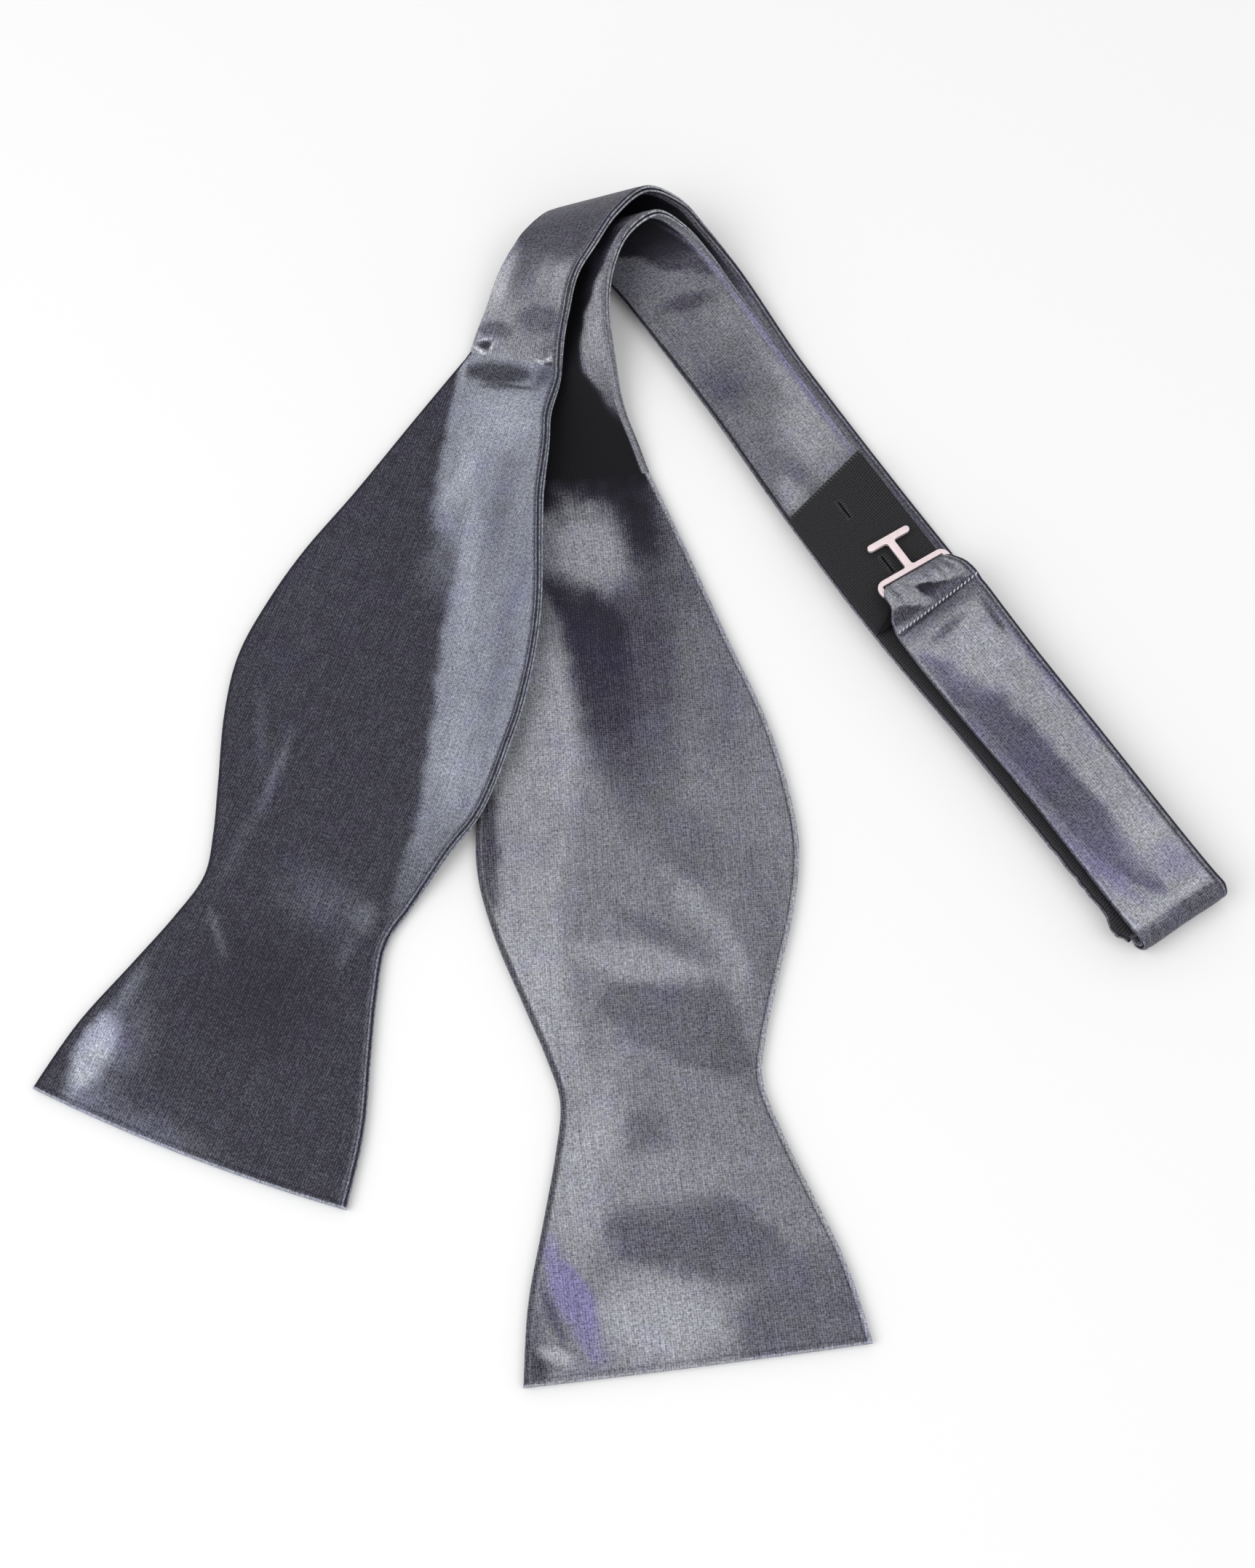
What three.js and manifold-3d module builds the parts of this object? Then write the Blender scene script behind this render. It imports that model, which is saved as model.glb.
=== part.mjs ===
// Self-tie bow tie of charcoal satin, lying untied with its two halves nested: each half is a shaped
// blade and a neck band. Both bands turn over together at the apex and run down the right leg, where
// the outer one makes a U-turn round the end of the inner one and comes back on top of it, ending in
// a loop that holds a flat metal T hook. A black ribbon with lengthwise slits is sewn on the inner
// band. Millimetres, +Z up, the surface it lies on at z = 0.
import * as THREE from 'three';
import { mergeVertices } from 'three/addons/utils/BufferGeometryUtils.js';
import Module from 'manifold-3d';

const wasm = await Module();
wasm.setup();

// Driving dimensions
const BAND_WIDTH = 20.5;
const BAND_THICKNESS = 1.8;
const BLADE_THICKNESS = 2;
const BLADE_LENGTH = 183;
const END_BOW_FADES = 20;
const LAYER_GAP = 0.35;
const SEAM_GROOVE = 0.35;
const RIBBON_WIDTH = 19.8;
const RIBBON_THICKNESS = 1;
const LOOP_THICKNESS = 1.2;
const SEWN_THICKNESS = 1.2;
const LOOP_ROOM = 2;
const HOOK_THICKNESS = 0.9;
const HOOK_BAR = 1.2;
const HOOK_FRAME_WIDTH = 17;
const HOOK_SLOT_PITCH = 3;
const HOOK_STEM = 7.6;
const HOOK_STEM_WIDTH = 1.6;
const HOOK_T_WIDTH = 10;
const HOOK_T_BAR = 1.5;
const HOOK_CORNER = 1.9;
const HOOK_FILLET = 0.6;

// Heights of the layers on the right leg, from the floor up
const OUTER_RUN_Z = BAND_THICKNESS / 2;
const INNER_RUN_RISE = BAND_THICKNESS + LAYER_GAP;
const RIBBON_Z = OUTER_RUN_Z + INNER_RUN_RISE + BAND_THICKNESS / 2 + LAYER_GAP + RIBBON_THICKNESS / 2;
const RETURN_Z = RIBBON_Z + RIBBON_THICKNESS / 2 + LAYER_GAP + BAND_THICKNESS / 2;
const HOOK_Z = RIBBON_Z + RIBBON_THICKNESS / 2 + LAYER_GAP + LOOP_ROOM;

const degrees = THREE.MathUtils.degToRad;
const vec = (x, y, z) => new THREE.Vector3(x, y, z);
const UP = vec(0, 0, 1);

// One half of the blade's pattern, cut the same for both blades: the square flared end, the waist,
// the bulge and the neck where the band is joined on.
const BLADE_PATTERN = [
  { fromEnd: 0, halfWidth: 32.7 },
  { fromEnd: 15, halfWidth: 30.1 },
  { fromEnd: 30, halfWidth: 25.4 },
  { fromEnd: 42, halfWidth: 21.7 },
  { fromEnd: 52, halfWidth: 19.6 },
  { fromEnd: 61, halfWidth: 21.4 },
  { fromEnd: 72, halfWidth: 25 },
  { fromEnd: 86, halfWidth: 29.6 },
  { fromEnd: 99, halfWidth: 32 },
  { fromEnd: 112, halfWidth: 31.1 },
  { fromEnd: 127, halfWidth: 28.1 },
  { fromEnd: 144, halfWidth: 22.6 },
  { fromEnd: 163, halfWidth: 16.7 },
  { fromEnd: BLADE_LENGTH, halfWidth: BAND_WIDTH / 2 },
];

// Where each blade's centre line lies, its free end, its waist, its bulge and its neck, and how far
// its end seam bows out
const LEFT_LAY = {
  centres: [vec(-83.7, -74.4, 0), vec(-62.2, -18.4, 0), vec(-41.6, 38, 0), vec(-23.7, 94, 0)],
  endBow: 1.4,
};
const RIGHT_LAY = {
  centres: [vec(13.2, -115.1, 0), vec(5.7, -55.5, 0), vec(0.4, 4.2, 0), vec(-5.5, 67.7, 0)],
  endBow: 0.2,
};

// The left blade's right side climbs over the other blade and curls up, so its edge stands higher
// than the middle by the rise and, seen from above, draws in by the tuck. The climb starts at a share
// of the half width and steepens towards the edge by the curl's power.
const LEFT_CLIMB = [
  { fromEnd: 0, rise: 0, tuck: 0, from: 0.3, curl: 2 },
  { fromEnd: 58, rise: 0, tuck: 0, from: 0.3, curl: 2 },
  { fromEnd: 78, rise: 3.4, tuck: 1.2, from: 0.3, curl: 1.7 },
  { fromEnd: 102, rise: 6.2, tuck: 4.5, from: 0.2, curl: 1.7 },
  { fromEnd: 150, rise: 7.6, tuck: 4.2, from: -0.1, curl: 1.5 },
  { fromEnd: 168, rise: 7.2, tuck: 2.7, from: -0.5, curl: 1.2 },
  { fromEnd: BLADE_LENGTH, rise: 5, tuck: 0, from: -1, curl: 1 },
];
const RIGHT_CLIMB = [
  { fromEnd: 0, rise: 0, tuck: 0, from: 0, curl: 1 },
  { fromEnd: BLADE_LENGTH, rise: 0, tuck: 0, from: 0, curl: 1 },
];

// The main dents and rises of each blade's upper ply: where the middle of each lies, by its distance
// from the free end and across from the blade's middle, its half length and half width, the turn of
// its length from the blade's own, and its height.
const LEFT_DENTS = [
  { fromEnd: 178.5, across: -1, long: 4.5, wide: 7.5, turn: -4, height: -0.45 },
  { fromEnd: 150, across: 2, long: 22, wide: 8, turn: -15, height: 0.4 },
  { fromEnd: 60, across: 4, long: 9, wide: 12, turn: 0, height: -0.3 },
  { fromEnd: 13, across: -24.5, long: 12, wide: 4.5, turn: 8, height: 0.35 },
];
const RIGHT_DENTS = [
  { fromEnd: 166, across: -4, long: 10, wide: 9, turn: 0, height: 0.35 },
  { fromEnd: 142, across: -2, long: 20, wide: 8, turn: -7, height: -0.35 },
  { fromEnd: 86, across: -6, long: 16, wide: 22, turn: 10, height: 0.4 },
  { fromEnd: 64, across: 2, long: 9, wide: 15, turn: 4, height: -0.4 },
  { fromEnd: 36, across: 4, long: 8, wide: 17, turn: 0, height: 0.35 },
  { fromEnd: 22, across: 4, long: 9, wide: 15, turn: 13, height: -0.35 },
];
const DENT_MARGIN = 3;

// Sections of the bands: the centre, and the plan direction and the bank of the line across the
// band, from its left edge to its right edge.
const OUTER_TURN = [
  { x: -23.4, y: 94.8, z: 3.8, across: -17, bank: 13 },
  { x: -22.5, y: 99.3, z: 6, across: -17, bank: 22 },
  { x: -21.2, y: 103.5, z: 8, across: -18, bank: 27 },
  { x: -19, y: 110.6, z: 10.7, across: -20, bank: 32 },
  { x: -15.6, y: 115.8, z: 13.4, across: -16, bank: 33 },
  { x: -12.2, y: 120.6, z: 14.8, across: -5, bank: 30 },
  { x: -5.4, y: 128.2, z: 11.5, across: -3, bank: 29 },
  { x: 1.2, y: 127.2, z: 6.9, across: 2, bank: 28 },
  { x: 7.5, y: 120.3, z: 5, across: 16, bank: 24 },
  { x: 14.6, y: 111.7, z: 2.6, across: 24, bank: 10 },
];
const INNER_TURN = [
  { x: -5.5, y: 68.1, z: 1, across: 5, bank: 0 },
  { x: -11.1, y: 83.6, z: 2.2, across: -5, bank: 6 },
  { x: -12.5, y: 95, z: 3.7, across: -11, bank: 15 },
  { x: -12.7, y: 104, z: 6.5, across: -17, bank: 26 },
  { x: -11.6, y: 111.3, z: 9.8, across: -19, bank: 32 },
  { x: -9.4, y: 117.2, z: 12.4, across: -8, bank: 32 },
  { x: -4.8, y: 122, z: 11.2, across: -2, bank: 29 },
  { x: 1.5, y: 119.8, z: 8, across: 5, bank: 26 },
  { x: 7.7, y: 113.8, z: 6, across: 16, bank: 19 },
  { x: 13.7, y: 105.8, z: 4.4, across: 24, bank: 10 },
];

// The U-turn's axis on the floor plan, and the way the right leg heads towards it
const U_TURN = { x: 107.2, y: -27.1 };
const LEG_ACROSS = 33.9;
const LEG_HEADING = vec(Math.sin(degrees(LEG_ACROSS)), -Math.cos(degrees(LEG_ACROSS)), 0);
const LEG_SIDE = vec(Math.cos(degrees(LEG_ACROSS)), Math.sin(degrees(LEG_ACROSS)), 0);

// Sections on the right leg: the distance back up the leg from the U-turn's axis, and how far they
// lie to the right of the outer band's middle. First the inner band and the ribbon on it.
const INNER_LAY = [
  { back: 140, shift: -3.5 },
  { back: 108, shift: -4.4 },
  { back: 78, shift: -4.4 },
  { back: 50, shift: -3.1 },
  { back: 1.5, shift: -1.8 },
];
const RIBBON_LAY = [
  { back: 113, shift: -4.6, across: 47 },
  { back: 101, shift: -4.6 },
  { back: 78, shift: -4.6 },
  { back: 50, shift: -3.3 },
  { back: 2, shift: -2 },
];
const SLIT_LENGTH = 4;
const SLIT_WIDTH = 0.7;
const SLIT_PITCH = 15.1;
const SLIT_DRIFT = 0.2;
const FIRST_SLIT_BACK = 105.8;
const FIRST_SLIT_SHIFT = -4.2;
const SLIT_COUNT = 6;

// The hook's outer bar, which the end loop wraps, the hook's tilt and its turn across the leg
const HOOK_BACK = 83.7;
const HOOK_SHIFT = -1.5;
const HOOK_TILT = 6;
const HOOK_TURN = -2.5;
const LOOP_RADIUS = HOOK_THICKNESS / 2 + LAYER_GAP + LOOP_THICKNESS / 2;

// The outer band on the right leg: its run on the floor, its run back on top up to the hook with the
// gathers that narrow it, and the end folded back under the hook and sewn
const FLOOR_RUN = [
  { back: 140, shift: 0 },
  { back: 110, shift: 0 },
  { back: 50, shift: 0.7 },
  { back: 8, shift: 0.9 },
  { back: 0, shift: 0.5 },
];
const TOP_RUN = [
  { back: 0, z: RETURN_Z, shift: -0.3 },
  { back: 8, z: RETURN_Z, shift: -0.5 },
  { back: 36, z: RETURN_Z, shift: -0.7 },
  { back: 60, z: RETURN_Z, width: 21.5, shift: -1.4 },
  { back: 75, z: RETURN_Z + 0.5, width: 21.8, shift: -1.5 },
  { back: 76.8, z: RETURN_Z + 0.8, width: 21.6, thickness: SEWN_THICKNESS, shift: -1.5 },
  { back: 78.8, z: HOOK_Z + 0.8, width: 20.8, thickness: 1.7, shift: -1.4 },
  { back: 81.5, z: HOOK_Z + LOOP_RADIUS, width: 18.6, thickness: LOOP_THICKNESS, shift: -1 },
];
const LOOP_START_WIDTH = 17;
const LOOP_WIDTHS = [15.6, 13.4, 13, 13, 13];
const LOOP_SHIFT = -0.9;
const FOLDED_END = [
  { back: HOOK_BACK - 2.5, width: 16.4, shift: -2.1 },
  { back: HOOK_BACK - 5, width: 19, shift: -3.9 },
];

// The section of a two-ply band or blade, from the seam groove at its right edge over the upper ply:
// the distance in from the edge, and the height as a share of half the thickness.
const PLY_EDGE = [
  { inset: SEAM_GROOVE, height: 0 },
  { inset: 0, height: 0.5 },
  { inset: 0.6, height: 1 },
];

// Joined smoothly, a list of sections gives the two edges of a band; every station is a line across.
function bandStations(rows, width, thickness, steps) {
  const centres = rows.map((row) => vec(row.x, row.y, row.z));
  const middle = new THREE.CatmullRomCurve3(centres, false, 'centripetal');
  const sides = rows.map((row, index) => {
    const across = degrees(row.across);
    const bank = degrees(row.bank ?? 0);
    const side = vec(Math.cos(across) * Math.cos(bank), Math.sin(across) * Math.cos(bank), Math.sin(bank));
    const heading = middle.getTangent(index / (rows.length - 1));
    const skew = vec(0, 0, 0).crossVectors(side, heading).length();
    return side.multiplyScalar((row.width ?? width) / 2 / skew);
  });
  const edgePoints = (sign) => centres.map(
    (centre, index) => centre.clone().addScaledVector(sides[index], sign));
  const edge = (sign) => new THREE.CatmullRomCurve3(edgePoints(sign), false, 'centripetal');
  const left = edge(-1);
  const right = edge(1);
  const stations = [];
  const count = (rows.length - 1) * steps;
  for (let step = 0; step <= count; step += 1) {
    const start = left.getPoint(step / count);
    const end = right.getPoint(step / count);
    start.z = Math.max(start.z, thickness / 2);
    end.z = Math.max(end.z, thickness / 2);
    const row = Math.min(Math.floor(step / steps), rows.length - 2);
    const share = step / steps - row;
    const from = rows[row].thickness ?? thickness;
    const to = rows[row + 1].thickness ?? thickness;
    stations.push({
      centre: start.clone().add(end).multiplyScalar(0.5),
      side: end.clone().sub(start).multiplyScalar(0.5),
      thickness: from + (to - from) * share,
    });
  }
  return stations;
}

// A closed solid round the stations. Each point of a section stands on the station's line across,
// bent up by the climb, at its distance along the surface's own normal; the relief moves the upper ply.
function clothSolid(stations, shares, climb = flatClimb, relief = () => 0) {
  const around = sectionOutline(1, 1, shares).length;
  const positions = [];
  const indices = [];
  stations.forEach((station, row) => {
    const before = stations[Math.max(row - 1, 0)].centre;
    const after = stations[Math.min(row + 1, stations.length - 1)].centre;
    const heading = after.clone().sub(before).normalize();
    const halfWidth = station.side.length();
    const onLine = (share) => station.centre.clone().addScaledVector(station.side, share)
      .add(climb(station, share));
    sectionOutline(halfWidth, station.thickness / 2, shares).forEach((point) => {
      const share = point.x / halfWidth;
      const slope = onLine(share + 0.02).sub(onLine(share - 0.02));
      const normal = vec(0, 0, 0).crossVectors(slope, heading).normalize();
      const onUpperPly = point.y > station.thickness * 0.45;
      const raised = onUpperPly ? relief(station, point.x, halfWidth) : 0;
      const place = onLine(share).addScaledVector(normal, point.y + raised);
      positions.push(place.x, place.y, place.z);
    });
  });
  for (let row = 0; row < stations.length - 1; row += 1) {
    for (let point = 0; point < around; point += 1) {
      const here = row * around + point;
      const beside = row * around + (point + 1) % around;
      indices.push(here, here + around, beside);
      indices.push(beside, here + around, beside + around);
    }
  }
  const last = (stations.length - 1) * around;
  const capOutline = sectionOutline(BAND_WIDTH / 2, BAND_THICKNESS / 2, shares);
  THREE.ShapeUtils.triangulateShape(capOutline, []).forEach(([a, b, c]) => {
    indices.push(a, b, c);
    indices.push(last + a, last + c, last + b);
  });
  const geometry = new THREE.BufferGeometry();
  geometry.setAttribute('position', new THREE.Float32BufferAttribute(positions, 3));
  geometry.setIndex(indices);
  return geometry;
}

// The outline of a section, right round: right edge, upper ply, left edge, lower ply
function sectionOutline(halfWidth, halfThickness, shares) {
  const upper = [];
  PLY_EDGE.forEach((row) => upper.push([halfWidth - row.inset, row.height * halfThickness]));
  shares.forEach((share) => upper.push([share * halfWidth, halfThickness]));
  [...PLY_EDGE].reverse().forEach((row) => upper.push([row.inset - halfWidth, row.height * halfThickness]));
  const lower = upper.slice(1, -1).reverse().map(([x, y]) => [x, -y]);
  return [...upper, ...lower].map(([x, y]) => new THREE.Vector2(x, y));
}

const flatClimb = () => vec(0, 0, 0);

// A value between the rows of a table, eased from row to row
function between(rows, fromEnd, column) {
  const next = Math.max(1, rows.findIndex((row) => row.fromEnd >= fromEnd - 1e-6));
  const [low, high] = [rows[next - 1], rows[next]];
  const share = THREE.MathUtils.smoothstep(fromEnd, low.fromEnd, high.fromEnd);
  return low[column] + (high[column] - low[column]) * share;
}

// How far the dents raise or sink the upper ply at a place, fading out towards the seams
function dentHeight(dents, fromEnd, across, halfWidth) {
  const inside = Math.min(halfWidth - Math.abs(across), fromEnd, BLADE_LENGTH - fromEnd);
  const heights = dents.map((dent) => {
    const angle = degrees(dent.turn);
    const far = fromEnd - dent.fromEnd;
    const aside = across - dent.across;
    const long = (far * Math.cos(angle) + aside * Math.sin(angle)) / dent.long;
    const wide = (aside * Math.cos(angle) - far * Math.sin(angle)) / dent.wide;
    return dent.height * (1 - THREE.MathUtils.smoothstep(Math.hypot(long, wide), 0.25, 1.75));
  });
  const sum = heights.reduce((total, height) => total + height, 0);
  return sum * THREE.MathUtils.clamp(inside / DENT_MARGIN, 0, 1);
}

function bladeGeometry(lay, climbRows, dents) {
  const centreLine = new THREE.CatmullRomCurve3(lay.centres, false, 'centripetal');
  const pattern = new THREE.SplineCurve(
    BLADE_PATTERN.map((row) => new THREE.Vector2(row.fromEnd, row.halfWidth)));
  const count = (BLADE_PATTERN.length - 1) * 3;
  const stations = [];
  for (let step = 0; step <= count; step += 1) {
    const cut = pattern.getPoint(step / count);
    const place = Math.min(cut.x / BLADE_LENGTH, 1);
    const centre = centreLine.getPointAt(place);
    const heading = centreLine.getTangentAt(place);
    const side = vec(0, 0, 0).crossVectors(heading, UP).multiplyScalar(cut.y);
    centre.z = BLADE_THICKNESS / 2;
    stations.push({ centre, side, heading, thickness: BLADE_THICKNESS, fromEnd: place * BLADE_LENGTH });
  }
  const climb = (station, share) => {
    const row = (column) => between(climbRows, station.fromEnd, column);
    const climbed = Math.max(0, (share - row('from')) / (1 - row('from'))) ** row('curl');
    const bow = lay.endBow * (1 - share * share) * Math.max(0, 1 - station.fromEnd / END_BOW_FADES);
    return vec(0, 0, row('rise') * climbed)
      .addScaledVector(station.side, -row('tuck') * climbed / station.side.length())
      .addScaledVector(station.heading, -bow);
  };
  const relief = (station, across, halfWidth) => dentHeight(dents, station.fromEnd, across, halfWidth);
  return clothSolid(stations, [0.85, 0.7, 0.5, 0.3, 0.1, -0.1, -0.3, -0.5, -0.75], climb, relief);
}

// A section on the right leg at a distance back up the leg from the U-turn's axis
function onLeg(back, z, extra = {}) {
  const shift = extra.shift ?? 0;
  return {
    x: U_TURN.x - LEG_HEADING.x * back + LEG_SIDE.x * shift,
    y: U_TURN.y - LEG_HEADING.y * back + LEG_SIDE.y * shift,
    across: LEG_ACROSS,
    ...extra,
    z,
  };
}

// A half-round turn about a line across the leg, from angle 0 at its start to 180 degrees
function halfRound(back, z, radius, away, extraAt = () => ({})) {
  return [30, 60, 90, 120, 150].map((angle, index) => onLeg(
    back + away * Math.abs(radius) * Math.sin(degrees(angle)),
    z - radius * Math.cos(degrees(angle)), extraAt(index)));
}

function outerBandGeometry() {
  const turnRadius = (RETURN_Z - OUTER_RUN_Z) / 2;
  const turnZ = (RETURN_Z + OUTER_RUN_Z) / 2;
  const loop = (width) => ({
    width, thickness: LOOP_THICKNESS, shift: LOOP_SHIFT, across: LEG_ACROSS + HOOK_TURN,
  });
  const rows = [
    ...OUTER_TURN,
    ...FLOOR_RUN.map((row) => onLeg(row.back, OUTER_RUN_Z, row)),
    ...halfRound(0, turnZ, turnRadius, -1),
    ...TOP_RUN.map((row) => onLeg(row.back, row.z, row)),
    onLeg(HOOK_BACK, HOOK_Z + LOOP_RADIUS, loop(LOOP_START_WIDTH)),
    ...halfRound(HOOK_BACK, HOOK_Z, -LOOP_RADIUS, 1, (index) => loop(LOOP_WIDTHS[index])),
    onLeg(HOOK_BACK, HOOK_Z - LOOP_RADIUS, loop(LOOP_WIDTHS[4])),
    ...FOLDED_END.map((row) => onLeg(
      row.back, HOOK_Z - LOOP_RADIUS, { thickness: LOOP_THICKNESS, ...row })),
  ];
  return clothSolid(bandStations(rows, BAND_WIDTH, BAND_THICKNESS, 2), [0]);
}

function innerBandGeometry() {
  const rows = [
    ...INNER_TURN,
    ...INNER_LAY.map((row) => onLeg(row.back, OUTER_RUN_Z + INNER_RUN_RISE, row)),
  ];
  return clothSolid(bandStations(rows, BAND_WIDTH, BAND_THICKNESS, 3), [0]);
}

// A closed geometry as a solid for cutting, and back
function toSolid(geometry) {
  const bare = geometry.clone();
  bare.deleteAttribute('normal');
  bare.deleteAttribute('uv');
  const merged = mergeVertices(bare, 1e-4);
  return new wasm.Manifold(new wasm.Mesh({
    numProp: 3,
    vertProperties: new Float32Array(merged.attributes.position.array),
    triVerts: new Uint32Array(merged.index.array),
  }));
}

function toGeometry(solid) {
  const mesh = solid.getMesh();
  const geometry = new THREE.BufferGeometry();
  geometry.setAttribute('position', new THREE.Float32BufferAttribute(mesh.vertProperties, 3));
  geometry.setIndex(Array.from(mesh.triVerts));
  return geometry;
}

// The ribbon, its start cut slantwise, with its row of lengthwise slits
function ribbonGeometry() {
  const rows = RIBBON_LAY.map((row) => onLeg(row.back, RIBBON_Z, row));
  let ribbon = toSolid(clothSolid(bandStations(rows, RIBBON_WIDTH, RIBBON_THICKNESS, 2), [0]));
  for (let slit = 0; slit < SLIT_COUNT; slit += 1) {
    const shift = FIRST_SLIT_SHIFT + slit * SLIT_DRIFT;
    const place = onLeg(FIRST_SLIT_BACK - slit * SLIT_PITCH, RIBBON_Z, { shift });
    const cutter = new THREE.BoxGeometry(SLIT_WIDTH, SLIT_LENGTH, RIBBON_THICKNESS * 3);
    cutter.rotateZ(degrees(LEG_ACROSS));
    cutter.translate(place.x, place.y, place.z);
    ribbon = ribbon.subtract(toSolid(cutter));
  }
  return toGeometry(ribbon);
}

// The hook, stamped from one plate: a slotted base, a stem and a T bar, drawn with +Y towards the T
// and its outer base bar at the origin
function hookGeometry() {
  const half = HOOK_FRAME_WIDTH / 2;
  const bar = HOOK_BAR / 2;
  const stem = HOOK_STEM_WIDTH / 2;
  const tHalf = HOOK_T_WIDTH / 2;
  const tBar = HOOK_T_BAR / 2;
  const inner = HOOK_SLOT_PITCH + bar;
  const tCentre = inner + HOOK_STEM;
  const fillet = HOOK_FILLET;
  const corner = HOOK_CORNER;
  const outline = new THREE.Shape();
  outline.moveTo(corner - half, -bar);
  outline.lineTo(half - corner, -bar);
  outline.quadraticCurveTo(half, -bar, half, corner - bar);
  outline.lineTo(half, inner - corner);
  outline.quadraticCurveTo(half, inner, half - corner, inner);
  outline.lineTo(stem + fillet, inner);
  outline.quadraticCurveTo(stem, inner, stem, inner + fillet);
  outline.lineTo(stem, tCentre - tBar - fillet);
  outline.quadraticCurveTo(stem, tCentre - tBar, stem + fillet, tCentre - tBar);
  outline.lineTo(tHalf - tBar, tCentre - tBar);
  outline.absarc(tHalf - tBar, tCentre, tBar, -Math.PI / 2, Math.PI / 2, false);
  outline.lineTo(tBar - tHalf, tCentre + tBar);
  outline.absarc(tBar - tHalf, tCentre, tBar, Math.PI / 2, Math.PI * 1.5, false);
  outline.lineTo(-stem - fillet, tCentre - tBar);
  outline.quadraticCurveTo(-stem, tCentre - tBar, -stem, tCentre - tBar - fillet);
  outline.lineTo(-stem, inner + fillet);
  outline.quadraticCurveTo(-stem, inner, -stem - fillet, inner);
  outline.lineTo(corner - half, inner);
  outline.quadraticCurveTo(-half, inner, -half, inner - corner);
  outline.lineTo(-half, corner - bar);
  outline.quadraticCurveTo(-half, -bar, corner - half, -bar);
  const slot = new THREE.Path();
  slot.moveTo(HOOK_BAR - half, bar);
  slot.lineTo(HOOK_BAR - half, inner - HOOK_BAR);
  slot.lineTo(half - HOOK_BAR, inner - HOOK_BAR);
  slot.lineTo(half - HOOK_BAR, bar);
  slot.closePath();
  outline.holes.push(slot);
  const settings = { depth: HOOK_THICKNESS, bevelEnabled: false, curveSegments: 4 };
  return new THREE.ExtrudeGeometry(outline, settings).translate(0, 0, -HOOK_THICKNESS / 2);
}

const satin = () => new THREE.MeshStandardMaterial({ color: 0x4b4c56, roughness: 0.38, metalness: 0 });
const twill = () => new THREE.MeshStandardMaterial({ color: 0x1c1c1e, roughness: 0.85, metalness: 0 });
const steel = () => new THREE.MeshStandardMaterial({ color: 0xd9c2bb, roughness: 0.3, metalness: 1 });

function piece(name, geometry, material) {
  const mesh = new THREE.Mesh(geometry, material);
  mesh.name = name;
  return mesh;
}

const hook = piece('t_hook', hookGeometry(), steel());
const hookPlace = onLeg(HOOK_BACK, HOOK_Z, { shift: HOOK_SHIFT });
hook.position.set(hookPlace.x, hookPlace.y, hookPlace.z);
hook.rotation.set(degrees(-HOOK_TILT), 0, degrees(LEG_ACROSS + HOOK_TURN), 'ZYX');

const bowTie = new THREE.Group();
bowTie.add(
  piece('left_blade', bladeGeometry(LEFT_LAY, LEFT_CLIMB, LEFT_DENTS), satin()),
  piece('left_band', outerBandGeometry(), satin()),
  piece('right_blade', bladeGeometry(RIGHT_LAY, RIGHT_CLIMB, RIGHT_DENTS), satin()),
  piece('right_band', innerBandGeometry(), satin()),
  piece('slotted_ribbon', ribbonGeometry(), twill()),
  hook,
);

// Stand the tie on the floor, with the middle of its outline over the origin
const box = new THREE.Box3().setFromObject(bowTie, true);
const middle = box.getCenter(vec(0, 0, 0));
bowTie.position.set(-middle.x, -middle.y, -box.min.z);

export default bowTie;
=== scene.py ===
"""A self-tie bow tie of charcoal satin, lying untied with its two halves nested.

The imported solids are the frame, and each piece of cloth, ribbon and metal is made again here with
its seams, gathers, stitches and weave. Places are in metres in the frame; the tables of each piece
are in millimetres from the layout's own origin, as the cloth was laid out.
"""
import math
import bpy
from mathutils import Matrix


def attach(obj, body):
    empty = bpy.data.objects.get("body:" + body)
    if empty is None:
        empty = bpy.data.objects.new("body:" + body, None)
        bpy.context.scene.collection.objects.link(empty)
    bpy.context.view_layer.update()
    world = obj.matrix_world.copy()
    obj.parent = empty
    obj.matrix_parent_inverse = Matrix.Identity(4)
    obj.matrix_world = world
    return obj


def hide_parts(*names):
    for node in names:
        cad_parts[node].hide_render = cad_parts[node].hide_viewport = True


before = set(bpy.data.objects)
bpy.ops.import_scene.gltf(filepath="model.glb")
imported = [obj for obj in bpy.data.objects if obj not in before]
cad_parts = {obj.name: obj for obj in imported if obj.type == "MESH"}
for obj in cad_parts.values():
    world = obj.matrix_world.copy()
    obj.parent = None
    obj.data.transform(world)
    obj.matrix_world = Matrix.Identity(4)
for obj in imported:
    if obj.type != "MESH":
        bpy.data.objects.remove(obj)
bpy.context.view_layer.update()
from types import SimpleNamespace
import bmesh
import bpy
import numpy as np
from mathutils import Matrix, Vector
from mathutils.bvhtree import BVHTree


# Right blade. A shaped blade of two plies of charcoal satin, seamed round its edge and turned right
# side out, lying flat on the surface. Its neck is seamed to the end of the inner neck band.

LAYOUT_ORIGIN = np.array([-1.653, -5.158, 0.0])
BAND_WIDTH = 20.5
BAND_THICKNESS = 1.8
BLADE_THICKNESS = 2.0
BLADE_LENGTH = 183.0
NECK_THINS = 8.0
END_BOW_FADES = 20.0
CLOTH_STEP = 0.85
FINE_STEPS = 2.2
STATION_POINTS = 4000


def table(columns, *rows):
    """Rows of numbers under named columns."""
    return dict(zip(columns.split(), np.array(rows, float).T))


def in_frame(places):
    """Places of the layout, in millimetres, as metres in the frame."""
    return (places + LAYOUT_ORIGIN) / 1000


def placed(name, data):
    """A new object in the scene."""
    made = bpy.data.objects.new(name, data)
    bpy.context.scene.collection.objects.link(made)
    return made


def mixed(low, high, share):
    return low + (high - low) * share


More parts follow.
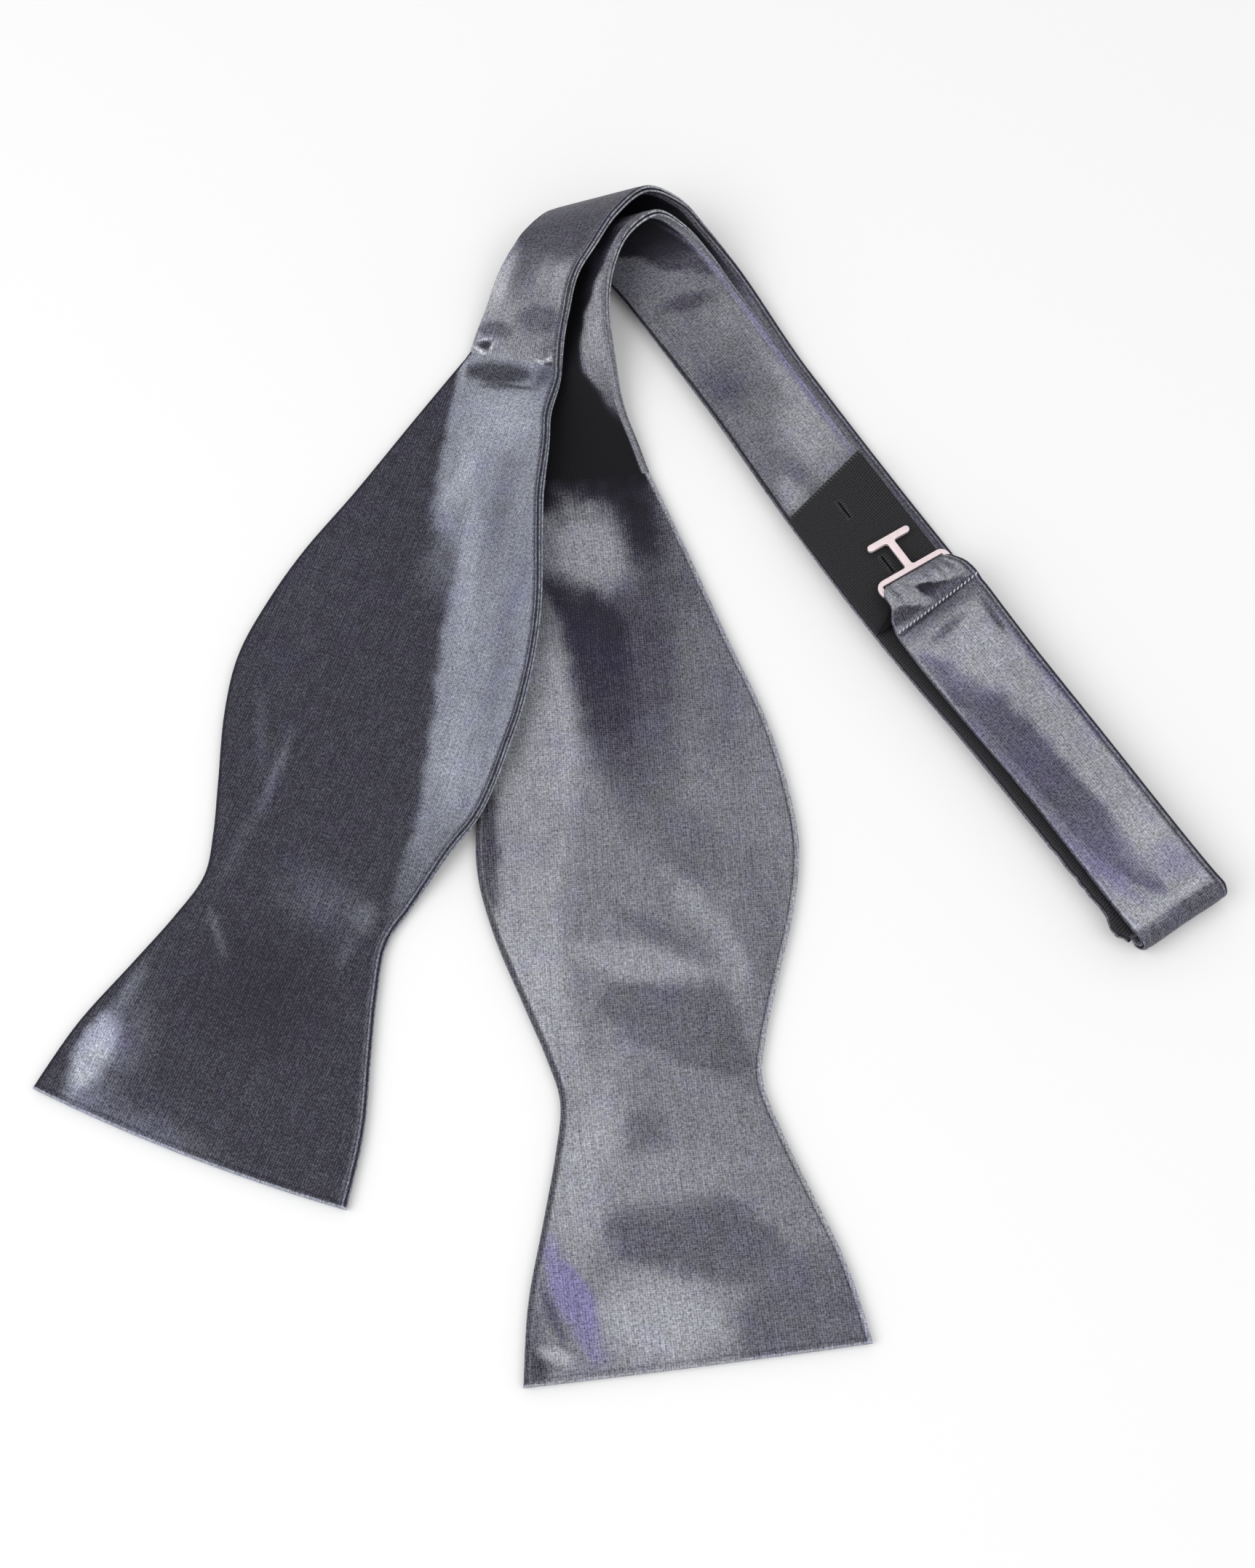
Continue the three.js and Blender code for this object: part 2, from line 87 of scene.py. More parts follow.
def eased(share):
    share = np.clip(share, 0, 1)
    return share * share * (3 - 2 * share)


def between(rows, place, column):
    """A column of a table at a place along the piece, eased from row to row."""
    known = rows["along"]
    low = np.clip(np.searchsorted(known, place, side="right") - 1, 0, len(known) - 2)
    share = eased((place - known[low]) / (known[low + 1] - known[low]))
    return mixed(rows[column][low], rows[column][low + 1], share)


def about(padded, count, at):
    """The four points about each place of a line, and the share of the way past the second."""
    row = np.clip(np.floor(at).astype(int), 0, count - 2)
    return *(padded[row + step] for step in range(4)), (at - row)[:, None]


def curved(start, end, lead, tail, share):
    """A smooth way from one point to the next, from the line's slopes at both."""
    return (start + share * lead + share**2 * (3 * (end - start) - 2 * lead - tail)
            + share**3 * (2 * (start - end) + lead + tail))


def through(points, at):
    """A smooth line through points, read at places counted in rows."""
    points = np.asarray(points, float)
    padded = np.vstack([2 * points[0] - points[1], points, 2 * points[-1] - points[-2]])
    before, start, end, after, share = about(padded, len(points), at)
    pairs = ((before, start), (start, end), (end, after))
    first, gap, last = (
        np.sqrt(np.maximum(np.linalg.norm(b - a, axis=1), 1e-6))[:, None] for a, b in pairs)
    lead = ((start - before) / first - (end - before) / (first + gap) + (end - start) / gap) * gap
    tail = ((end - start) / gap - (after - start) / (gap + last) + (after - end) / last) * gap
    return curved(start, end, lead, tail, share)


def lengths(line):
    steps = np.linalg.norm(np.diff(line, axis=0), axis=1)
    return np.concatenate([[0], np.cumsum(steps)])


def read_line(line, length, at):
    """A dense line read at lengths along it, carried straight on past both of its ends."""
    inside = np.clip(at, 0, length[-1])
    place = np.stack([np.interp(inside, length, line[:, axis]) for axis in range(3)], axis=-1)
    start = (line[1] - line[0]) / (length[1] - length[0])
    end = (line[-1] - line[-2]) / (length[-1] - length[-2])
    over = (at - inside)[..., None]
    return place + np.where(over < 0, over * start, over * end)


# The section of a seamed edge: how far in from the edge, and the height as a share of the half
# thickness. The two plies roll round to meet in the groove of the seam, and the seam allowance
# inside them leaves a lip with a shallow line behind it.
SEAMED_EDGE = table(
    "inset height",
    (0.55, 0.05), (0.28, 0.13), (0.07, 0.28), (0.0, 0.46), (0.05, 0.64), (0.22, 0.8),
    (0.5, 0.92), (0.85, 0.94), (1.15, 0.84), (1.45, 0.93), (2.0, 1.0))
JOINED_END = table("inset height", (-0.17, 0.97), (0.25, 0.99), (0.7, 1.0))
# The painted light and shade of each line of that section, on its left and its right; -1 keeps the
# cloth's own
BRIGHT_RIGHT_RIM = table(
    "left right",
    (0.05, 0.05), (0.2, 0.2), (0.6, 0.8), (0.7, 1.1), (0.5, 1.1), (0.36, 1.05),
    (0.3, 0.9), (0.36, 0.75), (0.5, 0.32), (-1, -1), (-1, -1))
FACING_RIM = table(
    "left right",
    (0.05, 0.05), (0.1, 0.2), (0.4, 0.9), (0.5, 1.1), (0.6, 0.7), (-1, 0.2),
    (-1, 0.16), (-1, 0.7), (-1, 0.26), (-1, 0.4), (-1, -1))
LIT_RIM = table(
    "left right",
    (0.05, 0.05), (0.1, 0.2), (0.6, 0.9), (0.8, 1.1), (0.4, 0.7), (0.16, 0.5),
    (0.16, 0.45), (-1, 0.65), (-1, 0.6), (-1, 0.66), (-1, -1))
CURLED_RIM = table(
    "left right",
    (0.05, 0.05), (0.1, 0.2), (0.6, 0.9), (0.8, 1.1), (0.4, 0.7), (0.16, 0.2),
    (0.16, 0.16), (-1, 0.7), (-1, 0.26), (-1, 0.4), (-1, -1))
# The same at a seamed end: where its groove lies and its painted shade, and the outer rim's painted
# highlight
END_GROOVE = (0.95, 1.3)
GROOVE_SHADE = 0.8
END_RIM = 0.3
END_RIM_HIGHLIGHT = 0.95


def stations(length, start, end, step, fine):
    """Places along a piece, close together round its ends, with the thickness each end takes."""
    dense = np.linspace(start["inset"][-1], length - end["inset"][-1], STATION_POINTS)
    near = np.zeros(dense.shape, bool)
    for low, high in fine:
        near |= (dense > low) & (dense < high)
    passed = np.cumsum(np.where(near, FINE_STEPS, 1.0)) * (dense[1] - dense[0]) / step
    middle = np.interp(np.arange(passed[0], passed[-1])[1:-1], passed, dense)
    place = np.concatenate([start["inset"], middle, length - end["inset"][::-1]])
    share = np.concatenate([start["height"], np.ones(len(middle)), end["height"][::-1]])
    return place, share


# How far the borders of the painted ovals and bands wander, as shares of their softness, over the
# size of the oval or band itself and over a fray of about a millimetre
SPOT_WANDER = 0.2
SPOT_FRAY = 0.12
SPOT_FRAY_SIZE = 1.1
SMALLEST_WANDER = 3.0
BAND_WANDER = 0.16
BAND_WANDER_SIZE = 9
BAND_FRAY_SIZE = 1.3


def ripple(along, across, size, seed):
    """A slow wandering from -1 to 1, the same each time, to make soft edges uneven."""
    total = 0
    for turn in range(4):
        angle = seed * 1.7 + turn * 2.4
        wave = (along * math.cos(angle) + across * math.sin(angle)) / size
        total = total + np.sin(wave * (1 + 0.37 * turn) + seed * 5.1 + turn)
    return total / 4


def soft_spot(rows, index, along, across, edge):
    """How much of one row's soft oval covers each place, from 0 to 1."""
    angle = math.radians(rows["turn"][index])
    far = along - rows["along"][index]
    out = across - rows["across"][index]
    longways = (far * math.cos(angle) + out * math.sin(angle)) / rows["long"][index]
    wide = (out * math.cos(angle) - far * math.sin(angle)) / rows["wide"][index]
    size = max(SMALLEST_WANDER, rows["wide"][index])
    wander = (SPOT_WANDER * ripple(along, across, size, index + 1)
              + SPOT_FRAY * ripple(along, across, SPOT_FRAY_SIZE, index))
    return 1 - eased((np.hypot(longways, wide) + wander - (1 - edge)) / (2 * edge))


def soft_band(rows, along, across):
    """How much of a band between its own left and right borders covers each place, from 0 to 1."""
    soft = between(rows, along, "soft")
    wander = (BAND_WANDER * ripple(along, across, BAND_WANDER_SIZE, 2)
              + BAND_WANDER * ripple(along, across, BAND_FRAY_SIZE, 4))
    inside = (across - between(rows, along, "left")) / soft + 0.5 + wander
    short = (between(rows, along, "right") - across) / soft + 0.5 + wander
    begun = (along - rows["along"][0]) / rows["soft"][0] + 0.5 + wander
    left_off = (rows["along"][-1] - along) / rows["soft"][-1] + 0.5 + wander
    return eased(inside) * eased(short) * eased(begun) * eased(left_off)


def sheens(upper, lower=()):
    """Soft bands of painted light or shade on the upper and on the lower ply, each with its own
    borders.
    """
    plies = [(1, rows) for rows in upper] + [(-1, rows) for rows in lower]
    return [(ply, table("along left right soft tone violet", *rows)) for ply, rows in plies]


def spots(upper, lower=()):
    """Soft ovals of painted light or shade on the upper and on the lower ply."""
    rows = [(1, *row) for row in upper] + [(-1, *row) for row in lower]
    return table("ply along across long wide turn edge tone violet", *rows)


def rises(*rows):
    """Soft ovals where the upper ply rises or dents, set in from the seams."""
    return table("along across long wide turn height", *rows)


def painted(paint, ply, along, across):
    """The painted light and shade and the violet cast of one ply: its plain tone, sheens, then spots.
    """
    tone = np.full(along.shape, float(paint["plain"]))
    tint = np.zeros(along.shape)
    covers = [
        (soft_band(rows, along, across), between(rows, along, "tone"), between(rows, along, "violet"))
        for sheen_ply, rows in paint.get("sheens", ()) if sheen_ply == ply]
    if "spots" in paint:
        rows = paint["spots"]
        covers += [
            (soft_spot(rows, index, along, across, rows["edge"][index]),
             rows["tone"][index], rows["violet"][index])
            for index in np.flatnonzero(rows["ply"] == ply)]
    for cover, lustre, violet in covers:
        tone = mixed(tone, lustre, cover)
        tint = mixed(tint, violet, cover)
    return tone, tint


def ply_lines(edge, rims, columns):
    """The lines of one ply from its right seam to its left one.

    Each line has its side or its share of the width, how far in it lies from its edge, its height,
    and the painted light and shade of its rim.
    """
    inset, height = edge["inset"], edge["height"]
    lines = [(1, 0, *line) for line in zip(inset, height, rims["right"])]
    lines += [(0, share, inset[-1], 1.0, -1) for share in np.linspace(1, -1, columns + 2)[1:-1]]
    lines += [(-1, 0, *line) for line in zip(inset[::-1], height[::-1], rims["left"][::-1])]
    return np.array(lines).T


def closed_cloth(name, points, flat, lustre, violet):
    """A mesh round both plies, closed at both ends, with its flat pattern and painted light and shade.
    """
    rows, around = points.shape[:2]
    number = np.arange(rows * around).reshape(rows, around)
    beside = np.roll(number, -1, axis=1)
    faces = [np.stack([number[:-1], beside[:-1], beside[1:], number[1:]], axis=-1).reshape(-1, 4)]
    for row, turned in ((0, 1), (rows - 1, -1)):
        upper, lower = number[row, :around // 2], number[row, around // 2:][::-1]
        cap = np.stack([upper[:-1], lower[:-1], lower[1:], upper[1:]], axis=-1)
        faces.append(cap[:, ::turned])
    mesh = bpy.data.meshes.new(name)
    mesh.from_pydata(in_frame(points.reshape(-1, 3)).tolist(), [], np.concatenate(faces).tolist())
    corner = np.zeros(len(mesh.loops), np.int32)
    mesh.loops.foreach_get("vertex_index", corner)
    mesh.uv_layers.new(name="cloth").data.foreach_set("uv", flat.reshape(-1, 2)[corner].ravel())
    # Stores each point's painted light and shade and its violet cast
    for label, values in (("lustre", lustre), ("violet", violet)):
        mesh.attributes.new(label, "FLOAT", "POINT").data.foreach_set("value", values.ravel())
    mesh.shade_smooth()
    return mesh


# Small steps on the surface that give its slope, and the least height above the table
ACROSS_NUDGE = 0.01
ALONG_NUDGE = 0.2
FLOOR_CLEARANCE = 0.02
# How far from the seams the rises fade out, and how soft they are
RISE_MARGIN = 3.0
RISE_EDGE = 0.75
# Where the lower ply lies on the flat pattern, clear of the upper one
LOWER_PLY_OFFSET = 400


def two_plies(name, surface, half_width, length, thickness, ends, paint, columns=44, folds=None,
              step=CLOTH_STEP, fine=(), edge=SEAMED_EDGE):
    """A closed piece of two plies that follow a surface, with a UV in millimetres.

    Its ends and its edge are sections such as SEAMED_EDGE, and its stations lie closer together in
    the fine stretches. A paint may have shades: the ply, where one starts and ends, how dark it gets.
    """
    along, end_share = stations(length, *ends, step, fine)
    half = half_width(along)[:, None]
    side, share, inward, height, rim_tone = ply_lines(edge, paint["rims"], columns)
    across = side * (half - inward) + share * (half - edge["inset"][-1])
    place = np.repeat(along[:, None], across.shape[1], axis=1)
    portion = across / half
    base = surface(place, portion)
    slope = surface(place, portion + ACROSS_NUDGE) - surface(place, portion - ACROSS_NUDGE)
    heading = surface(place + ALONG_NUDGE, portion) - surface(place - ALONG_NUDGE, portion)
    normal = np.cross(slope, heading)
    normal /= np.linalg.norm(normal, axis=2, keepdims=True)
    half_thick = thickness(along)[:, None] / 2
    inland = np.minimum(1, (half - np.abs(across)) / RISE_MARGIN)
    inland = inland * np.minimum(1, np.minimum(place, length - place) / RISE_MARGIN).clip(0, 1)
    flat = np.stack([across, place], axis=2)
    plies = []
    for ply in (1, -1):
        lift = height * end_share[:, None] * half_thick
        if folds is not None and ply > 0:
            for index, rise in enumerate(folds["height"]):
                lift = lift + rise * soft_spot(folds, index, place, across, RISE_EDGE) * inland
        point = base + normal * (ply * lift)[:, :, None]
        point[:, :, 2] = np.maximum(point[:, :, 2], FLOOR_CLEARANCE)
        tone, tint = painted(paint, ply, place, across)
        tone = np.where(rim_tone < 0, tone, rim_tone)
        # Painted shade in the groove of a seamed end, and a painted highlight on its outermost rim
        if ends[0] is SEAMED_EDGE:
            groove = (place > END_GROOVE[0]) & (place < END_GROOVE[1])
            tone = np.where(groove, tone * GROOVE_SHADE, tone)
            tone = np.where(place < END_RIM, END_RIM_HIGHLIGHT, tone)
        for shade_ply, first, last, dark in paint.get("shades", ()):
            if shade_ply == ply:
                tone = tone * mixed(1, dark, eased((place - first) / (last - first)))
        pattern = flat + (0 if ply > 0 else LOWER_PLY_OFFSET)
        plies.append([values[:, ::ply] for values in (point, pattern, tone, tint)])
    around = [np.concatenate(sides, axis=1) for sides in zip(*plies)]
    return placed(name, closed_cloth(name, *around))


# Half of the blade's pattern from its square end, over the waist and the bulge, to the neck
BLADE_PATTERN = table(
    "along half",
    (0, 32.7), (15, 30.1), (30, 25.4), (42, 21.7), (52, 19.6), (61, 21.4), (72, 25), (86, 29.6),
    (99, 32), (112, 31.1), (127, 28.1), (144, 22.6), (163, 16.7), (BLADE_LENGTH, BAND_WIDTH / 2))
# How many points draw the pattern's line and the lay's line, and the step that reads a heading
PATTERN_POINTS = 400
LAY_POINTS = 900
HEADING_STEP = 0.3


def blade_half_width(along):
    """The pattern as a smooth line through its rows."""
    rows = np.stack([BLADE_PATTERN["along"], BLADE_PATTERN["half"]], axis=1)
    padded = np.vstack([rows[0], rows, rows[-1]])
    at = np.linspace(0, len(rows) - 1, PATTERN_POINTS)
    before, start, end, after, share = about(padded, len(rows), at)
    line = curved(start, end, (end - before) / 2, (after - start) / 2, share)
    return np.interp(along, line[:, 0], line[:, 1])


def blade_thickness(along):
    """The blade thins to the band's thickness at its neck."""
    thinned = eased((along - BLADE_LENGTH) / NECK_THINS + 1)
    return mixed(BLADE_THICKNESS, BAND_THICKNESS, thinned)


def blade_surface(lay, climb, bow):
    """The blade's middle surface: a place for a length from its end and a share of its width."""
    dense = through(lay, np.linspace(0, len(lay) - 1, LAY_POINTS))
    length = lengths(dense)
    scale = length[-1] / BLADE_LENGTH

    def surface(along, share):
        at = along * scale
        centre = read_line(dense, length, at)
        centre[..., 2] = BLADE_THICKNESS / 2
        heading = (read_line(dense, length, at + HEADING_STEP)
                   - read_line(dense, length, at - HEADING_STEP))
        heading /= np.linalg.norm(heading, axis=-1, keepdims=True)
        side = np.stack([heading[..., 1], -heading[..., 0], np.zeros(along.shape)], axis=-1)
        start = between(climb, along, "start")
        rolled = np.maximum(0, (share - start) / (1 - start)) ** between(climb, along, "curl")
        out = share * blade_half_width(along) - between(climb, along, "tuck") * rolled
        back = bow * (1 - share**2) * np.maximum(0, 1 - along / END_BOW_FADES)
        place = centre + side * out[..., None] - heading * back[..., None]
        place[..., 2] += between(climb, along, "rise") * rolled
        return place

    return surface


RIGHT_LAY = [(13.2, -115.1, 0), (5.7, -55.5, 0), (0.4, 4.2, 0), (-5.5, 67.7, 0)]
RIGHT_CLIMB = table("along rise tuck start curl", (0, 0, 0, 0, 1), (BLADE_LENGTH, 0, 0, 0, 1))
RIGHT_END_BOW = 0.2
NECK_EASE = 2.6
NECK_EASE_START = 156.0
NECK_EASE_RUN = 14.0
# Painted light and shade, where the satin catches more or less light: bands with their own borders,
# then ovals over them
RIGHT_BLADE_PAINT = {
    "plain": 0.62,
    "rims": BRIGHT_RIGHT_RIM,
    "sheens": sheens([
        # The lit left half of the bulge
        [(52, -21, -13, 4, 0.78, 0), (62, -24, -14, 4, 0.84, 0), (75, -30, -16, 5, 0.95, 0),
         (90, -34, -16, 6, 0.86, 0), (105, -28, -12, 6, 0.78, 0), (118, -36, -10, 5, 0.86, 0),
         (130, -36, -10, 4, 0.9, 0), (142, -36, -11.5, 4, 0.9, 0), (150, -36, -13, 3, 0.75, 0)],
        # Painted shade in the wide dip from the bulge to the neck
        [(104, 3, 11, 6, 0.49, 0.1), (112, 1, 9, 7, 0.46, 0.1), (118, 0, 11, 8, 0.44, 0.1),
         (124, -3, 11, 9, 0.4, 0.15), (136, -5, 16, 11, 0.33, 0.15), (148, -5, 20, 12, 0.3, 0.15),
         (155, -5, 20, 11, 0.32, 0.15), (161, 2, 18, 8, 0.4, 0.1), (167, 5, 16, 6, 0.44, 0.1),
         (172, 8, 12, 4, 0.5, 0.1)],
        # Painted shade in the deep crease on that dip's left
        [(102, -3, 5, 6, 0.55, 0.1), (108, -3.6, 4, 6, 0.48, 0.1), (114, -5, 3.5, 6, 0.41, 0.1),
         (120, -7, 3, 6, 0.34, 0.2), (130, -8.8, 2.5, 6, 0.25, 0.25), (142, -9.6, 2, 5, 0.21, 0.3),
         (150, -10.6, 2, 5, 0.18, 0.3), (156, -13, -2, 5, 0.18, 0.25), (162, -16, -8, 4, 0.24, 0.2)],
        # Painted shade in the dip above the waist
        [(53, 11, 17, 4, 0.44, 0.1), (58, 3, 18, 5, 0.46, 0.1), (64, -6, 17, 5, 0.46, 0.12),
         (70, -10.5, 15, 3, 0.45, 0.12), (73.5, -8, 12, 2, 0.47, 0.1)],
        # Painted shade in the dip below the waist
        [(13.5, 6, 22, 4, 0.46, 0.15), (18, -5, 20, 5, 0.43, 0.15), (22, -12, 18, 4, 0.42, 0.15),
         (27, -13, 13, 5, 0.42, 0.15), (31.5, -11, 9, 4, 0.45, 0.15)],
        # The dim right corner of the square end
        [(-3, 8, 40, 3, 0.44, 0.15), (8, 8, 40, 5, 0.44, 0.15), (14, 14, 40, 5, 0.46, 0.15),
         (19, 20, 40, 5, 0.5, 0.15)]]),
    "spots": spots([
        (104, -30, 14, 2.8, 2, 0.4, 0.32, 0.05), (168.5, -4, 10, 9.5, 0, 0.6, 0.82, 0),
        (176.5, -8, 4, 1.2, 0, 0.8, 0.6, 0), (172, 6.8, 11, 4.6, -8, 0.8, 0.14, 0),
        (190, 0, 15.5, 18, 0, 0.55, 0.02, 0), (180, -11, 4, 2.5, 0, 0.6, 0.05, 0),
        (135, 17.5, 18, 6.5, -8, 0.6, 0.5, 0.1), (100, 10, 8, 7, 0, 0.7, 0.48, 0.1),
        (82, 23.5, 20, 4.5, -5, 0.7, 0.52, 0.05), (88.5, 10.5, 8.5, 2.8, -35, 0.55, 0.78, 0),
        (77, 16.6, 7.5, 2.3, -8, 0.6, 0.78, 0), (78, -3, 3.2, 13, 15, 0.5, 0.82, 0),
        (83, 3, 2.2, 10, 32, 0.7, 0.48, 0.1), (59, 14, 9, 3.2, -22, 0.6, 0.42, 0.1),
        (44.5, -5, 3.8, 4.5, 0, 0.6, 0.46, 0.1), (40, -15.5, 17, 5.5, 18, 0.6, 0.92, 0),
        (35.5, -2, 5, 12, 0, 0.7, 0.72, 0), (9, -7, 7, 12, 8, 0.5, 0.94, 0),
        (15, -21.5, 11, 3.2, -17, 0.3, 0.64, 1), (12, -25.5, 6, 1, -17, 0.8, 0.36, 0.4),
        (9, -30, 6, 2, 8, 0.6, 0.42, 0.1), (3.5, -30, 3, 2.6, 0, 0.6, 0.28, 0),
        (5, -26, 1.1, 3.2, 30, 0.7, 1.05, 0)])}
RIGHT_BLADE_FOLDS = rises(
    (166, -4, 10, 9, 0, 0.35), (142, -2, 20, 8, -7, -0.35), (86, -6, 16, 22, 10, 0.4),
    (64, 2, 9, 15, 4, -0.4), (36, 4, 8, 17, 0, 0.35), (22, 4, 9, 15, 13, -0.35))


class Wire:
    """One socket in a finish. Sums written with it add the Math nodes they need."""

    def __init__(self, finish, socket):
        self.finish = finish
        self.socket = socket

    def _sum(self, operation, first, second=0.0):
        inputs = {0: first, 1: second}
        return self.finish.node("ShaderNodeMath", {"operation": operation}, inputs)

    def __add__(self, other):
        return self._sum("ADD", self, other)

    def __radd__(self, other):
        return self._sum("ADD", other, self)

    def __sub__(self, other):
        return self._sum("SUBTRACT", self, other)

    def __rsub__(self, other):
        return self._sum("SUBTRACT", other, self)

    def __mul__(self, other):
        return self._sum("MULTIPLY", self, other)

    def __rmul__(self, other):
        return self._sum("MULTIPLY", other, self)

    def wave(self):
        return self._sum("SINE", self)

    def floor(self):
        return self._sum("FLOOR", self)

    def at_least(self, low):
        return self._sum("MAXIMUM", self, low)

    def at_most(self, high):
        return self._sum("MINIMUM", self, high)

    def power(self, exponent):
        return self._sum("POWER", self, exponent)


class Finish:
    """A material under construction, with a Principled surface."""

    def __init__(self, name, settings):
        self.material = bpy.data.materials.new(name)
        self.material.use_nodes = True
        self.tree = self.material.node_tree
        self.surface = self.tree.nodes["Principled BSDF"]
        for label, value in settings.items():
            self.surface.inputs[label].default_value = value

    def node(self, kind, settings=None, inputs=None, output=0):
        """Adds a node, its settings first, then its inputs, and hands back one output."""
        made = self.tree.nodes.new(kind)
        for label, value in (settings or {}).items():
            if label == "stops":
                while len(made.color_ramp.elements) < len(value):
                    made.color_ramp.elements.new(0.5)
                for element, (place, colour) in zip(made.color_ramp.elements, value):
                    element.position = place
                    element.color = (*colour, 1)
            else:
                setattr(made, label, value)
        for label, value in (inputs or {}).items():
            if isinstance(value, Wire):
                self.tree.links.new(value.socket, made.inputs[label])
            else:
                made.inputs[label].default_value = value
        return Wire(self, made.outputs[output])

    def feed(self, wires):
        """Links wires to the surface's own inputs."""
        for label, wire in wires.items():
            self.tree.links.new(wire.socket, self.surface.inputs[label])

    def cloth(self):
        """The flat pattern's own map, then how far across and how far along it each place is."""
        flat = self.node("ShaderNodeUVMap", {"uv_map": "cloth"})
        axes = (self.node("ShaderNodeSeparateXYZ", None, {0: flat}, output=axis) for axis in (0, 1))
        return flat, *axes

    def noise(self, places, scale, detail, roughness=0.5):
        return self.node("ShaderNodeTexNoise", None, {
            "Vector": places, "Scale": scale, "Detail": detail, "Roughness": roughness})

    def blend(self, share, low, high, how="MIX"):
        """A colour between two colours, or one laid over the other in another way."""
        settings = {"data_type": "RGBA", "blend_type": how}
        return self.node("ShaderNodeMix", settings, {0: share, 6: low, 7: high}, output=2)

    def bump(self, strength, distance, height):
        return self.node("ShaderNodeBump", None, {
            "Strength": strength, "Distance": distance, "Height": height})


SHADED_SATIN = (0.004, 0.004, 0.005)
DARK_SATIN = (0.023, 0.021, 0.032)
LIT_SATIN = (0.33, 0.338, 0.368)
BRIGHT_SATIN = (0.76, 0.78, 0.82)
VIOLET_CAST = (1.0, 0.9, 1.5, 1)
RIB_PITCH = 0.5
RIB_LEAN = 0.55
FLOAT_PITCH = 0.44
STREAK_SHAPE = (1.5, 0.1, 1.0)
WEAVE_MEAN = 0.22
MOTTLE = 0.7
STREAKS = 0.5
SPARKLE = 3.1
WEAVE_SHADE = 0.35
DOT_SHADE = 0.24


def satin_finish(name, lit=LIT_SATIN):
    """Charcoal satin: lustrous threads in fine ribs, with the painted sparkle of single floats."""
    satin = Finish(name, {"Metallic": 0.1, "Specular IOR Level": 0.14})
    flat, across, along = satin.cloth()
    # Each piece's painted light and shade and its violet cast, read from its points
    lustre, violet = (
        satin.node("ShaderNodeAttribute", {"attribute_name": label}, output=2)
        for label in ("lustre", "violet"))
    mottle = satin.noise(flat, 0.35, 4.0, 0.75)
    drift = satin.noise(flat, 0.11, 5.0, 0.7)
    speck = satin.noise(flat, 1.9, 3.0, 0.85)
    drawn = satin.node("ShaderNodeVectorMath", {"operation": "MULTIPLY"}, {0: flat, 1: STREAK_SHAPE})
    streak = satin.noise(drawn, 1.0, 2.0, 0.6)
    rib = ((across * (2 * math.pi / RIB_PITCH)).wave() * 0.5 + 0.5).power(2.0)
    lean = (across * (1 / RIB_PITCH)).floor() * RIB_LEAN
    floats = ((along * (2 * math.pi / FLOAT_PITCH) + lean).wave() * 0.5 + 0.5).power(2.0)
    weave = rib * (floats * 0.8 + 0.2)
    # The painted light and shade made uneven, then painted sparkle that grows with it, and the weave's
    # dots
    tone = lustre * (1 + (mottle - 0.5) * MOTTLE + (streak - 0.5) * STREAKS)
    painted_sparkle = tone * ((speck - 0.5) * SPARKLE + (weave - WEAVE_MEAN) * WEAVE_SHADE)
    dots = (weave - WEAVE_MEAN) * (speck * 1.4 - 0.3) * DOT_SHADE
    shown = (tone + painted_sparkle + dots).at_least(0.0)
    stops = ((0, SHADED_SATIN), (0.1, DARK_SATIN), (0.5, lit), (1, BRIGHT_SATIN))
    colour = satin.node("ShaderNodeValToRGB", {"stops": stops}, {0: shown * 0.5})
    cast = (violet * 0.9 + (drift - 0.5) * 1.2 + 0.02).at_least(0.0).at_most(1.0)
    satin.feed({
        "Base Color": satin.blend(cast, colour, VIOLET_CAST, "MULTIPLY"),
        "Roughness": 0.55 - tone * 0.12,
        "Normal": satin.bump(0.3, 0.00006, weave * 0.6 + speck * 0.5)})
    return satin.material


def belongs(piece, node):
    """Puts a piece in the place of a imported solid."""
    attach(piece, "root")
    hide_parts(node)


blade_area = blade_half_width(np.arange(0.25, BLADE_LENGTH, 0.5)).sum() / 1e6
blade_ends = (SEAMED_EDGE, JOINED_END)
flat_right_surface = blade_surface(RIGHT_LAY, RIGHT_CLIMB, RIGHT_END_BOW)


def right_blade_surface(along, share):
    """The right blade's middle surface, eased out at its neck on the side under the left blade."""
    place = flat_right_surface(along, share)
    place[..., 0] -= NECK_EASE * eased((along - NECK_EASE_START) / NECK_EASE_RUN) * eased(-share)
    return place


right_blade = two_plies(
    "right_blade_satin", right_blade_surface, blade_half_width, BLADE_LENGTH, blade_thickness,
    blade_ends, RIGHT_BLADE_PAINT, folds=RIGHT_BLADE_FOLDS)
right_blade.data.materials.append(satin_finish("right_blade_satin"))
belongs(right_blade, "right_blade")


# Left blade. The same pattern in the same satin. It lies across the right blade's edge, so its own
# right side climbs and curls up there.

